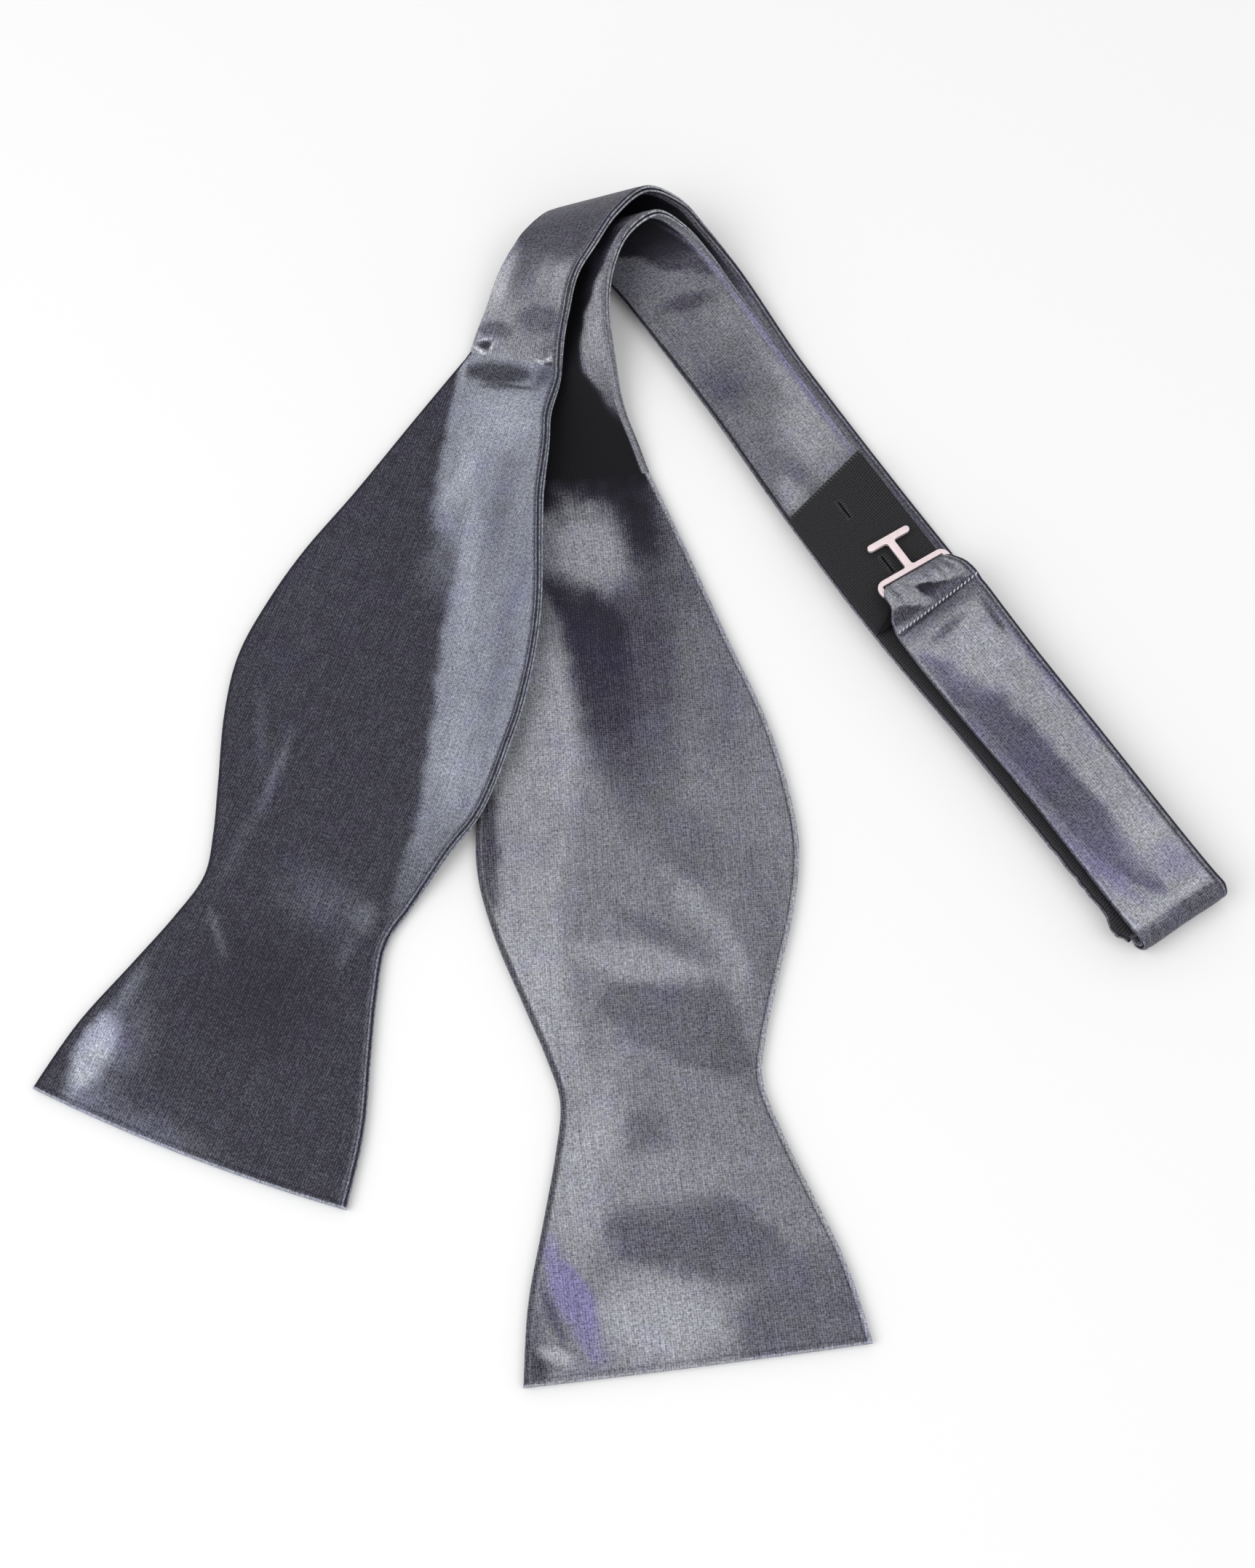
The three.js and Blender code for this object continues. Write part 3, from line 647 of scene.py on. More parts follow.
LEFT_LAY = [(-83.7, -74.4, 0), (-62.2, -18.4, 0), (-41.6, 38, 0), (-23.7, 94, 0)]
LEFT_CLIMB = table(
    "along rise tuck start curl",
    (0, 0, 0, 0.3, 2), (58, 0, 0, 0.3, 2), (78, 3.4, 1.2, 0.3, 1.7), (102, 6.2, 4.5, 0.2, 1.7),
    (150, 7.6, 4.2, -0.1, 1.5), (168, 7.2, 2.7, -0.5, 1.2), (BLADE_LENGTH, 5, 0, -1, 1))
LEFT_END_BOW = 1.4
# The bluer colour of the left blade's painted light
COOL_LIT_SATIN = (0.318, 0.336, 0.392)
# Painted light and shade: mostly shaded, with painted light along the side that climbs and curls
LEFT_BLADE_PAINT = {
    "plain": 0.255,
    "rims": CURLED_RIM,
    "sheens": sheens([
        # The lit side of the long fold, from the waist to the neck
        [(56, 17, 20, 3, 0.32, 0), (65, 16.8, 22.5, 2.5, 0.44, 0), (75, 16.6, 26, 2.5, 0.6, 0),
         (82, 15.6, 36, 2.5, 0.7, 0), (90, 13.4, 36, 3, 0.78, 0), (100, 11, 36, 3, 0.76, 0),
         (110, 7.8, 36, 2.5, 0.74, 0), (120, 5.6, 36, 2.6, 0.74, 0), (129, 4, 36, 4, 0.72, 0),
         (136, -1, 36, 7, 0.7, 0), (145, -4.6, 36, 5, 0.7, 0), (152, -6.6, 36, 3, 0.74, 0),
         (160, -8.2, 36, 2.5, 0.72, 0), (170, -10.2, 36, 2, 0.76, 0), (190, -13.5, 36, 2, 0.76, 0)]]),
    "spots": spots([
        (120, -22, 20, 6, 0, 0.9, 0.27, 0.1), (133, 0, 6, 3.5, 0, 0.8, 0.4, 0.1),
        (168, 3, 6, 7, 0, 0.8, 0.94, 0), (154, -2, 8, 2.8, 4, 0.9, 0.98, 0),
        (134, 6.5, 20, 2.2, -16, 0.8, 0.88, 0), (95, 18.5, 10, 3, -12, 0.7, 0.88, 0),
        (148, 10.5, 12, 3, -8, 0.6, 0.58, 0.1), (120, 21.5, 20, 3, -10, 0.7, 0.63, 0.1),
        (85, -21, 9, 1.2, -23, 0.9, 0.33, 0.1), (77, -14.8, 9, 0.9, -2, 0.8, 0.44, 0.1),
        (62, -15.5, 10, 1.2, 3, 0.9, 0.32, 0.1), (56, 4, 5, 8, 0, 0.9, 0.35, 0.1),
        (55.5, 13.3, 2.6, 2.4, 0, 0.8, 0.46, 0.1), (48, 13, 3.5, 1.6, 0, 0.8, 0.36, 0.1),
        (41.5, -11.8, 5.2, 0.9, -41, 0.8, 0.45, 0), (35, 0, 10, 12, 0, 1, 0.21, 0),
        (9, -20.5, 13, 4.4, 0, 1, 0.42, 0.1), (1.5, -10, 3.2, 13, 3, 0.9, 0.4, 0.1),
        (11, -24.4, 8.6, 3.2, 3, 0.4, 1.1, 0.1), (24, -23.3, 6, 1.2, 5, 0.8, 0.5, 0.1),
        (3, -21.5, 1.6, 2.2, 0, 0.8, 0.5, 0.1), (8, -5, 1, 14, 3, 0.8, 0.28, 0.1),
        (179, -2, 2.9, 8, -3, 0.28, 0.3, 0.1), (176, 1, 0.6, 7, -3, 0.6, 0.3, 0.1),
        (180, 8, 3, 2.2, 0, 0.8, 0.42, 0.1), (179, -10.4, 5, 0.8, -12, 0.6, 0.9, 0)])}
LEFT_BLADE_FOLDS = rises(
    (178.5, -1, 4.5, 7.5, -4, -0.45), (150, 2, 22, 8, -15, 0.4), (13, -24.5, 12, 4.5, 8, 0.35),
    (42, -11, 8, 3, -41, 0.25), (60, 4, 9, 12, 0, -0.3))

left_blade_surface = blade_surface(LEFT_LAY, LEFT_CLIMB, LEFT_END_BOW)
left_blade = two_plies(
    "left_blade_satin", left_blade_surface, blade_half_width, BLADE_LENGTH, blade_thickness,
    blade_ends, LEFT_BLADE_PAINT, folds=LEFT_BLADE_FOLDS)
left_blade.data.materials.append(satin_finish("left_blade_satin", COOL_LIT_SATIN))
belongs(left_blade, "left_blade")


# Left neck band. A seamed satin strip that carries on from the left blade, turns over at the apex,
# runs down the right leg on the surface, rolls round the U-turn and comes back on top, where its
# end is gathered into a loop round the hook and sewn down.

LAYER_GAP = 0.35
RIBBON_WIDTH = 19.8
RIBBON_THICKNESS = 1.0
LOOP_THICKNESS = 1.2
LOOP_START_WIDTH = 17.0
LOOP_WIDTHS = [16.2, 14.5, 14.2, 14.2, 14.2]
LOOP_ROOM = 2.0
LOOP_SHIFT = -1.5
SEWN_THICKNESS = 1.2
HOOK_THICKNESS = 0.9
HOOK_BACK = 83.7
HOOK_SHIFT = -1.5
HOOK_TURN = -2.5
OUTER_RUN_Z = BAND_THICKNESS / 2
INNER_RUN_Z = OUTER_RUN_Z + BAND_THICKNESS + LAYER_GAP
RIBBON_Z = INNER_RUN_Z + BAND_THICKNESS / 2 + LAYER_GAP + RIBBON_THICKNESS / 2
RETURN_Z = RIBBON_Z + RIBBON_THICKNESS / 2 + LAYER_GAP + BAND_THICKNESS / 2
HOOK_Z = RIBBON_Z + RIBBON_THICKNESS / 2 + LAYER_GAP + LOOP_ROOM
LOOP_RADIUS = HOOK_THICKNESS / 2 + LAYER_GAP + LOOP_THICKNESS / 2
TURN_RADIUS = (RETURN_Z - OUTER_RUN_Z) / 2
TURN_Z = (RETURN_Z + OUTER_RUN_Z) / 2
U_TURN = np.array([107.2, -27.1])
LEG_ACROSS = 33.9
LEG_HEADING = np.array([math.sin(math.radians(LEG_ACROSS)), -math.cos(math.radians(LEG_ACROSS))])
LEG_SIDE = np.array([math.cos(math.radians(LEG_ACROSS)), math.sin(math.radians(LEG_ACROSS))])

OUTER_TURN = table(
    "x y z across bank",
    (-23.4, 94.8, 3.8, -17, 13), (-22.5, 99.3, 6, -17, 22), (-21.2, 103.5, 8, -18, 27),
    (-19, 110.6, 10.7, -20, 32), (-15.6, 115.8, 13.4, -16, 33), (-12.2, 120.6, 14.8, -5, 30),
    (-5.4, 128.2, 11.5, -3, 29), (1.2, 127.2, 6.9, 2, 28), (7.5, 120.3, 5, 16, 24),
    (14.6, 111.7, 2.6, 24, 10))
FLOOR_RUN = table(
    "back shift", (140, -0.2), (110, -0.5), (80, -0.2), (50, 0.5), (8, 0.9), (0, 0.5))
TOP_RUN = table(
    "back rise width thickness shift",
    (0, 0, 20.5, 1.8, -0.3), (8, 0, 20.5, 1.8, -0.5), (36, 0, 20.5, 1.8, -0.7),
    (60, 0, 21.5, 1.8, -1.4), (75, 0.5, 21.8, 1.8, -1.5),
    (76.8, 0.8, 21.6, SEWN_THICKNESS, -1.5))
GATHERED_RUN = table(
    "back rise width thickness shift",
    (78.8, 0.8, 20.8, 1.7, -1.4), (81.5, LOOP_RADIUS, 18.6, LOOP_THICKNESS, -1))
FOLDED_END = table("back width shift", (HOOK_BACK - 2.5, 16.4, -2.1), (HOOK_BACK - 5, 19, -3.9))


def on_leg(back, z, shift=0.0, rise=0.0, across=LEG_ACROSS, width=BAND_WIDTH,
           thickness=BAND_THICKNESS):
    """A section on the right leg, at a distance back up the leg from the U-turn."""
    x, y = U_TURN - LEG_HEADING * back + LEG_SIDE * shift
    return (x, y, z + rise, across, 0.0, width, thickness)


def leg_rows(rows, z, **settings):
    """Sections on the right leg, one for each row of a table."""
    return [on_leg(z=z, **dict(zip(rows, values)), **settings) for values in zip(*rows.values())]


def turn_rows(turn):
    """Sections where a band turns over at the apex, one for each row of a table."""
    return [(*row, BAND_WIDTH, BAND_THICKNESS) for row in zip(*turn.values())]


def half_round(back, z, radius, away, widths=(BAND_WIDTH,) * 5, **settings):
    """Sections of a half-round turn about a line across the leg."""
    return [
        on_leg(back + away * abs(radius) * math.sin(math.radians(angle)),
               z - radius * math.cos(math.radians(angle)), width=width, **settings)
        for angle, width in zip((30, 60, 90, 120, 150), widths)]


ROW_NUDGE = 0.001
POINTS_PER_ROW = 60


def band_surface(sections):
    """A band's middle surface between two smooth edges, and what changes along it."""
    sections = np.array(sections, float)
    centre = sections[:, :3]
    across, bank = np.radians(sections[:, 3]), np.radians(sections[:, 4])
    side = np.stack([np.cos(across) * np.cos(bank), np.sin(across) * np.cos(bank), np.sin(bank)], 1)
    rows = np.arange(len(sections), dtype=float)
    ahead = through(centre, np.minimum(rows + ROW_NUDGE, rows[-1]))
    heading = ahead - through(centre, np.maximum(rows - ROW_NUDGE, 0))
    heading /= np.linalg.norm(heading, axis=1, keepdims=True)
    skew = np.linalg.norm(np.cross(side, heading), axis=1)
    reach = side * (sections[:, 5] / 2 / skew)[:, None]
    at = np.linspace(0, rows[-1], POINTS_PER_ROW * len(sections))
    left, right = through(centre - reach, at), through(centre + reach, at)
    thick = np.interp(at, rows, sections[:, 6])
    for edge in (left, right):
        edge[:, 2] = np.maximum(edge[:, 2], thick / 2)
    length = lengths((left + right) / 2)
    middle, reach = (left + right) / 2, (right - left) / 2

    def surface(along, share):
        return (read_line(middle, length, along)
                + share[..., None] * read_line(reach, length, np.clip(along, 0, length[-1])))

    def half_width(along):
        return np.interp(along, length, np.linalg.norm(reach, axis=1))

    def thickness(along):
        return np.interp(along, length, thick)

    def place_of(row):
        return float(np.interp(row, at, length))

    return SimpleNamespace(surface=surface, half_width=half_width, thickness=thickness,
                           length=length[-1], place_of=place_of)


JOIN_FADE = 10.0


def joined(band, blade):
    """A band's surface, drawn to the neck of its blade over its first centimetre."""
    def surface(along, share):
        ended = blade(np.full(along.shape, BLADE_LENGTH), share)
        step_off = ended - band(np.zeros(along.shape), share)
        return band(along, share) + step_off * (1 - eased(along / JOIN_FADE))[..., None]

    return surface


loop = {"thickness": LOOP_THICKNESS, "shift": LOOP_SHIFT, "across": LEG_ACROSS + HOOK_TURN}
outer_rows = turn_rows(OUTER_TURN) + leg_rows(FLOOR_RUN, OUTER_RUN_Z)
outer_rows += half_round(0, TURN_Z, TURN_RADIUS, -1)
outer_rows += leg_rows(TOP_RUN, RETURN_Z)
sewn_row = len(outer_rows) - 1
outer_rows += leg_rows(GATHERED_RUN, HOOK_Z)
outer_rows.append(on_leg(HOOK_BACK, HOOK_Z + LOOP_RADIUS, width=LOOP_START_WIDTH, **loop))
outer_rows += half_round(HOOK_BACK, HOOK_Z, -LOOP_RADIUS, 1, LOOP_WIDTHS, **loop)
outer_rows.append(on_leg(HOOK_BACK, HOOK_Z - LOOP_RADIUS, width=LOOP_WIDTHS[-1], **loop))
outer_rows += leg_rows(FOLDED_END, HOOK_Z - LOOP_RADIUS, thickness=LOOP_THICKNESS)
outer = band_surface(outer_rows)
sewn = outer.place_of(sewn_row)

# Painted light and shade on the left band, and painted shade over its folded end
LEFT_BAND_PAINT = {
    "plain": 0.84,
    "rims": FACING_RIM,
    "shades": ((-1, sewn + 8, sewn + 11, 0.12), (1, sewn + 9, sewn + 11, 0.12)),
    "sheens": sheens([
        # Painted shade on the face that climbs to the apex
        [(20, -7.5, 12, 6, 0.38, 0.1), (25, -9.5, 12, 4, 0.34, 0.1), (30, -12, 12, 2, 0.33, 0.1),
         (44, -12, 12, 4, 0.42, 0)],
        # Painted shade in the long crease of the top run
        [(249.5, -1.5, 0.2, 1.6, 0.52, 0.45), (252, -3, 0.4, 1.8, 0.48, 0.5),
         (256, -4.8, 0.5, 2.2, 0.46, 0.5), (261, -7, 0.4, 2.6, 0.43, 0.45),
         (268, -9, 0.5, 3, 0.42, 0.4), (278, -9.5, 0.5, 3.4, 0.38, 0.35),
         (290, -9.8, 0.3, 3.4, 0.38, 0.35), (299, -9.9, -0.6, 3.4, 0.39, 0.35),
         (305, -9.9, -2.2, 3.4, 0.41, 0.45), (311, -9.9, -5, 3.2, 0.43, 0.45),
         (318, -10, -9, 3, 0.6, 0.4)],
        # Painted light and shade on the cloth on that crease's left
        [(252, -12, -6.5, 2.5, 0.9, 0.1), (262, -12, -7.9, 2.5, 0.68, 0.35),
         (275, -12, -8.2, 2.5, 0.56, 0.35), (302, -12, -8.6, 2.5, 0.52, 0.35)],
        # The dim roll of the U-turn
        [(232, -12, 12, 1, 0.4, 0.2), (246.7, -12, 12, 0.8, 0.4, 0.2)],
        # The loop's lit back
        [(sewn + 6, -7, 6, 1.5, 0.74, 0.1), (sewn + 12, -8, 6, 1.5, 0.72, 0.1),
         (sewn + 15, -8, 6, 1.5, 0.6, 0.1)],
        # Painted shade in the gather on the left of the seam
        [(sewn + 1, -12, -2, 0.9, 0.34, 0.2), (sewn + 2.2, -12, -3.6, 1, 0.28, 0.2),
         (sewn + 3.2, -12, -5.8, 1, 0.26, 0.1), (sewn + 4.4, -12, -8, 1, 0.4, 0)],
        # Painted shade in the gather on its right, down to the dark fold
        [(sewn + 1.4, -0.6, 10, 1.1, 0.36, 0.2), (sewn + 2.6, -1.4, 7, 1.1, 0.32, 0.2),
         (sewn + 3.6, -2.1, 3.4, 1, 0.22, 0.1), (sewn + 4.6, -2.6, 0.8, 0.9, 0.12, 0),
         (sewn + 6, -2.8, -1.4, 0.7, 0.14, 0)]], lower=[
        # The lower ply: shaded up to the apex, then open to the light
        [(-9, -14, 14, 2, 0.04, 0), (60, -14, 14, 8, 0.04, 0), (74, -14, 14, 5, 0.3, 0.2),
         (80, -14, 14, 5, 0.56, 0.15), (125, -14, 14, 5, 0.54, 0.15), (150, -14, 14, 5, 0.44, 0.2),
         (350, -14, 14, 5, 0.42, 0.2)]]),
    "spots": spots([
        (4, 0, 4, 10, 0, 0.8, 0.64, 0.05), (12.5, 1.5, 4.2, 8, 0, 0.9, 0.64, 0),
        (16, -8.3, 6, 2.2, 0, 0.7, 1.2, 0), (19, -3.2, 4.5, 3.8, 0, 0.9, 0.42, 0.1),
        (8, 4.3, 2.8, 5.9, 6, 0.45, 0.41, 0.15), (5.8, -6, 1.5, 4.2, 4, 0.5, 0.42, 0.1),
        (3, 7.5, 2, 2.4, 0, 0.8, 0.5, 0.1), (2.2, -6.8, 1.1, 2.2, 10, 0.5, 0.24, 0),
        (1, -8.2, 0.4, 1.8, 25, 0.7, 1.4, 0), (3.4, -7.6, 0.35, 1.6, -15, 0.7, 1.3, 0),
        (2.2, -5.4, 1.1, 0.35, 20, 0.7, 1.3, 0), (1.4, 8, 0.4, 1.9, -25, 0.6, 1.3, 0),
        (0.4, 6.2, 0.35, 1.4, 30, 0.6, 1.2, 0), (0.5, 7.8, 0.5, 1.2, 0, 0.6, 0.3, 0),
        (260, 5, 7, 5, 0, 0.9, 0.96, 0), (311, 1, 6, 6, 0, 0.9, 0.95, 0),
        (248.2, 5, 0.7, 5, -3, 0.8, 1.1, 0), (249, -6, 2.2, 4, 0, 0.8, 1.0, 0),
        (261, -7.6, 8, 1.5, -14, 0.9, 0.6, 0.7), (254, 5.5, 4, 3.5, 0, 0.8, 0.74, 0.4),
        (298, 9, 24, 0.7, 0, 0.8, 0.56, 0.5), (sewn - 5, -1.5, 1.1, 3.8, -8, 0.6, 0.46, 0.1),
        (sewn - 7, 8, 4.8, 0.8, 2, 0.6, 0.36, 0.05), (sewn - 0.6, 0, 2.2, 14, -6, 0.9, 0.42, 0.25),
        (sewn + 0.2, 0, 0.6, 14, -7, 0.5, 0.24, 0.2), (sewn + 9.3, 2, 2, 3.6, 0, 0.8, 0.46, 0.1),
        (sewn + 6, -6.8, 2.4, 0.5, 4, 0.8, 0.5, 0), (sewn + 6.4, -4, 2, 0.5, 2, 0.8, 0.56, 0),
        (sewn + 6.8, 0.8, 2, 0.5, -2, 0.8, 0.54, 0), (sewn + 6.6, 3.4, 2.2, 0.5, -4, 0.8, 0.5, 0),
        (sewn + 6.2, 5.6, 2.4, 0.6, -6, 0.8, 0.42, 0)], lower=[
        (341, -3, 7, 14, 0, 0.3, 0.1, 0)])}
LEFT_BAND_FOLDS = rises(
    (1, -8.2, 0.6, 1.9, 25, 0.5), (3.4, -7.6, 0.5, 1.7, -15, 0.4), (2.2, -5.4, 1.2, 0.6, 20, 0.4),
    (2.2, -7, 0.7, 1.4, 5, -0.35), (1.4, 8, 0.6, 2, -25, 0.5), (0.4, 6.2, 0.6, 1.5, 30, 0.4),
    (8, 4, 3, 5.6, 4, -0.3), (sewn + 0.2, 0, 0.8, 14, -7, -0.3), (sewn + 4.2, -5.6, 1.8, 3, -20, 0.45),
    (sewn + 5.4, 4, 1.9, 4, 0, 0.45), (sewn + 4.6, -2, 2.2, 0.8, -14, -0.6),
    (sewn - 5, -1, 2.4, 5, 6, -0.3), (sewn - 6, 7.8, 6, 1.4, 3, -0.3), (283, -4.8, 34, 5, -6.6, -0.3))

left_band = two_plies(
    "left_band_satin", joined(outer.surface, left_blade_surface), outer.half_width, outer.length,
    outer.thickness, (JOINED_END, SEAMED_EDGE), LEFT_BAND_PAINT, columns=40,
    folds=LEFT_BAND_FOLDS, step=0.65, fine=((0, 11), (sewn - 10, outer.length)))
left_band.data.materials.append(satin_finish("left_band_satin"))
belongs(left_band, "left_band")


# Right neck band. The same seamed strip from the right blade, nested inside the left band's fold,
# then flat on it down the right leg; its crinkled end is tucked into the U-turn.

INNER_TURN = table(
    "x y z across bank",
    (-5.5, 68.1, 1, 5, 0), (-11.1, 83.6, 2.2, -5, 6), (-12.5, 95, 3.7, -11, 15),
    (-12.7, 104, 6.5, -17, 26), (-11.6, 111.3, 9.8, -19, 32), (-9.4, 117.2, 12.4, -8, 32),
    (-4.8, 122, 11.2, -2, 29), (1.5, 119.8, 8, 5, 26), (7.7, 113.8, 6, 16, 19),
    (13.7, 105.8, 4.4, 24, 10))
INNER_LAY = table(
    "back shift width",
    (140, -3.3, 20.8), (108, -4, 21.8), (78, -4, 21.8), (50, -2.9, 21.2), (1.5, -1.8, 20.5))
# Painted light and shade on the right band: painted shade inside the fold, painted light where it
# opens
RIGHT_BAND_PAINT = {
    "plain": 0.52,
    "rims": LIT_RIM,
    "sheens": sheens([
        # The shade inside the fold
        [(-9, -12, 12, 1, 0.02, 0), (60, -12, 12, 20, 0.02, 0)],
        # The lit right side of the climb
        [(14, 8.5, 12, 3, 0.25, 0), (19, 6.5, 12, 3, 0.42, 0), (25, 3.4, 12, 2, 0.62, 0),
         (30, 3, 12, 1.6, 0.76, 0), (36, 4.6, 12, 1.6, 0.84, 0), (42, 6.6, 12, 1.6, 0.84, 0),
         (49, 9, 12, 1.6, 0.8, 0)]], lower=[
        # The lower ply: shaded inside the fold, then open to the light
        [(-9, -14, 14, 3, 0.02, 0), (63, -14, 14, 3, 0.04, 0), (67, -8, 14, 4, 0.08, 0),
         (71, -1, 14, 5, 0.15, 0.1), (75, 0.5, 14, 4.5, 0.27, 0.1), (78, 5, 14, 4, 0.3, 0.1),
         (82, 9, 14, 3, 0.36, 0.1)]]),
    "spots": spots([], lower=[
        (84.3, 0, 2, 5.5, -8, 0.5, 0.32, 0.2), (91, 5, 4, 4, 0, 0.8, 0.62, 0),
        (105, -4.5, 5, 4, 0, 0.8, 0.36, 0.15), (112, 7.5, 14, 2.2, 0, 0.8, 0.76, 0),
        (124, 5, 10, 6, 0, 0.7, 0.84, 0), (132, 6, 3, 4, 0, 0.8, 0.68, 0),
        (133, -6.5, 4, 2.4, 0, 0.6, 0.8, 0), (129.5, -3, 5, 1.8, 12, 0.8, 0.5, 0.2),
        (105, 9.3, 36, 0.7, 0, 0.6, 0.5, 0.6)])}
TUCKED_BACK = 2.0
TUCKED_DEEPER = 1.9
TUCK_STARTS = 9.0
RUMPLE_STARTS = 32.0
RUMPLE_GROWS = 26.0
RUMPLE_EDGE = 0.86
RUMPLE_HEIGHT = 0.55
RUMPLE_WANDER = 0.2
LUMP_STARTS = 5.5
LUMP_GROWS = 3.0
LUMP_EDGE = 0.82
LUMP_HEIGHT = 0.5
LUMP_OUT = 1.0
EDGE_GROWS = 0.32


def rumpled(point):
    """Places with the left side of the tucked ends crinkled and pushed on into the U-turn."""
    point = np.array(point, float)
    back = (U_TURN - point[..., :2]) @ LEG_HEADING - TUCKED_BACK
    aside = (U_TURN - point[..., :2]) @ LEG_SIDE / (BAND_WIDTH / 2)
    near = eased((RUMPLE_STARTS - back) / RUMPLE_GROWS) * eased((aside - RUMPLE_EDGE) / EDGE_GROWS)
    lump = eased((LUMP_STARTS - back) / LUMP_GROWS) * eased((aside - LUMP_EDGE) / EDGE_GROWS)
    wave = 0.5 + 0.5 * np.sin(back * 1.5 + 1.6 * np.sin(back * 0.55) + aside * 4)
    point[..., 2] += RUMPLE_HEIGHT * wave * near + LUMP_HEIGHT * lump * (1 - 0.4 * wave)
    out = RUMPLE_WANDER * near * ripple(back, aside, 1.6, 3) + LUMP_OUT * lump * eased(back / 1.5)
    down = TUCKED_DEEPER * eased((TUCK_STARTS - back) / TUCK_STARTS)
    point[..., :2] += down[..., None] * LEG_HEADING - out[..., None] * LEG_SIDE
    return point


inner = band_surface(turn_rows(INNER_TURN) + leg_rows(INNER_LAY, INNER_RUN_Z))
inner_joined = joined(inner.surface, right_blade_surface)


def tucked_surface(along, share):
    """The right band's middle surface, from its blade's neck to its rumpled end."""
    return rumpled(inner_joined(along, share))


right_band = two_plies(
    "right_band_satin", tucked_surface, inner.half_width, inner.length, inner.thickness,
    (JOINED_END, SEAMED_EDGE), RIGHT_BAND_PAINT, columns=40, step=0.6)
right_band.data.materials.append(satin_finish("right_band_satin"))
belongs(right_band, "right_band")


# Slotted ribbon. Black twill ribbon sewn on the inner band, with a row of lengthwise slits, each
# edged with buttonhole stitches, that the hook is buttoned into.

RIBBON_LAY = table(
    "back shift across width",
    (113, -4.2, 47, 21.2), (101, -4.2, LEG_ACROSS, 21.2), (78, -4.2, LEG_ACROSS, 21.2),
    (50, -3, LEG_ACROSS, 20.5), (2, -2, LEG_ACROSS, RIBBON_WIDTH))
WOVEN_EDGE = table("inset height", (0.03, 0.1), (0.0, 0.45), (0.06, 0.8), (0.3, 1.0), (0.7, 1.0))
PLAIN_RIM = table("left right", *[(-1, -1)] * 5)
RIBBON_PAINT = {"plain": 0, "rims": PLAIN_RIM}
SLIT_LENGTH = 4.0
SLIT_OPENING = 0.4
SLIT_PITCH = 15.1
SLIT_DRIFT = 0.2
SLIT_COUNT = 6
FIRST_SLIT_BACK = 105.8
FIRST_SLIT_SHIFT = -4.2
CUTTER_REACH = 2.0
TWILL_PITCH = 0.5
TWILL_LEAN = 0.2
TWILL_SHADE = (0.0035, 0.0035, 0.004, 1)
TWILL_LIGHT = (0.046, 0.046, 0.05, 1)

inner_ribbon = band_surface(leg_rows(RIBBON_LAY, RIBBON_Z, thickness=RIBBON_THICKNESS))
ribbon = two_plies(
    "slotted_ribbon_twill", inner_ribbon.surface, inner_ribbon.half_width, inner_ribbon.length,
    inner_ribbon.thickness, (WOVEN_EDGE, WOVEN_EDGE), RIBBON_PAINT, columns=40, step=0.6,
    edge=WOVEN_EDGE)


def leg_point(back, shift, z):
    """A place on the right leg, in metres in the frame."""
    return in_frame(np.array(on_leg(back, z, shift)[:3]))


slits = [(FIRST_SLIT_BACK - turn * SLIT_PITCH, FIRST_SLIT_SHIFT + turn * SLIT_DRIFT)
         for turn in range(SLIT_COUNT)]
cutters = bmesh.new()
for back, shift in slits:
    low, high = (
        [cutters.verts.new(leg_point(
            back + end * SLIT_LENGTH / 2, shift + side * SLIT_OPENING / 2, RIBBON_Z + rise))
         for side, end in ((-1, -1), (1, -1), (1, 1), (-1, 1))]
        for rise in (-CUTTER_REACH, CUTTER_REACH))
    cutters.faces.new(low)
    cutters.faces.new(high)
    for this, after in ((0, 1), (1, 2), (2, 3), (3, 0)):
        cutters.faces.new((low[this], low[after], high[after], high[this]))
bmesh.ops.recalc_face_normals(cutters, faces=cutters.faces)
cutter = placed("slit_cutter", bpy.data.meshes.new("slit_cutter"))
cutters.to_mesh(cutter.data)
cutters.free()


def solid_mesh(piece):
    """A piece's shape as it is evaluated, as a plain mesh of its own."""
    bpy.context.view_layer.update()
    shaped = piece.evaluated_get(bpy.context.evaluated_depsgraph_get())
    return bpy.data.meshes.new_from_object(shaped)


def bake(piece):
    """Turns a piece with its modifiers into a plain mesh of its own."""
    mesh = solid_mesh(piece)
    mesh.name = piece.name
    piece.modifiers.clear()
    piece.data = mesh


slit = ribbon.modifiers.new("slits", "BOOLEAN")
slit.operation = "DIFFERENCE"
slit.object = cutter
bake(ribbon)
bpy.data.objects.remove(cutter)
woven = np.zeros(len(ribbon.data.vertices) * 3)
ribbon.data.vertices.foreach_get("co", woven)
woven = rumpled(woven.reshape(-1, 3) * 1000 - LAYOUT_ORIGIN)
ribbon.data.vertices.foreach_set("co", in_frame(woven).ravel())


def twill_finish():
    """Matt black twill, its fine ribs running nearly straight across."""
    twill = Finish("ribbon_twill", {"Specular IOR Level": 0.15})
    flat, across, along = twill.cloth()
    rib = ((along + across * TWILL_LEAN) * (2 * math.pi / TWILL_PITCH)).wave() * 0.5 + 0.5
    speck = twill.noise(flat, 2.4, 2.0)
    shown = rib * 0.55 + (speck - 0.3) * 0.7
    twill.feed({
        "Base Color": twill.blend(shown.at_least(0.0).at_most(1.0), TWILL_SHADE, TWILL_LIGHT),
        "Roughness": 0.7 - shown * 0.1,
        "Normal": twill.bump(0.4, 0.00008, rib + speck * 0.3)})
    return twill.material


ribbon.data.materials.append(twill_finish())
belongs(ribbon, "slotted_ribbon")


# T hook. One stamping of rose plated steel: a slotted base that the left band's end is looped
# round, a stem and a T bar with round ends. Its edges are tumbled smooth.

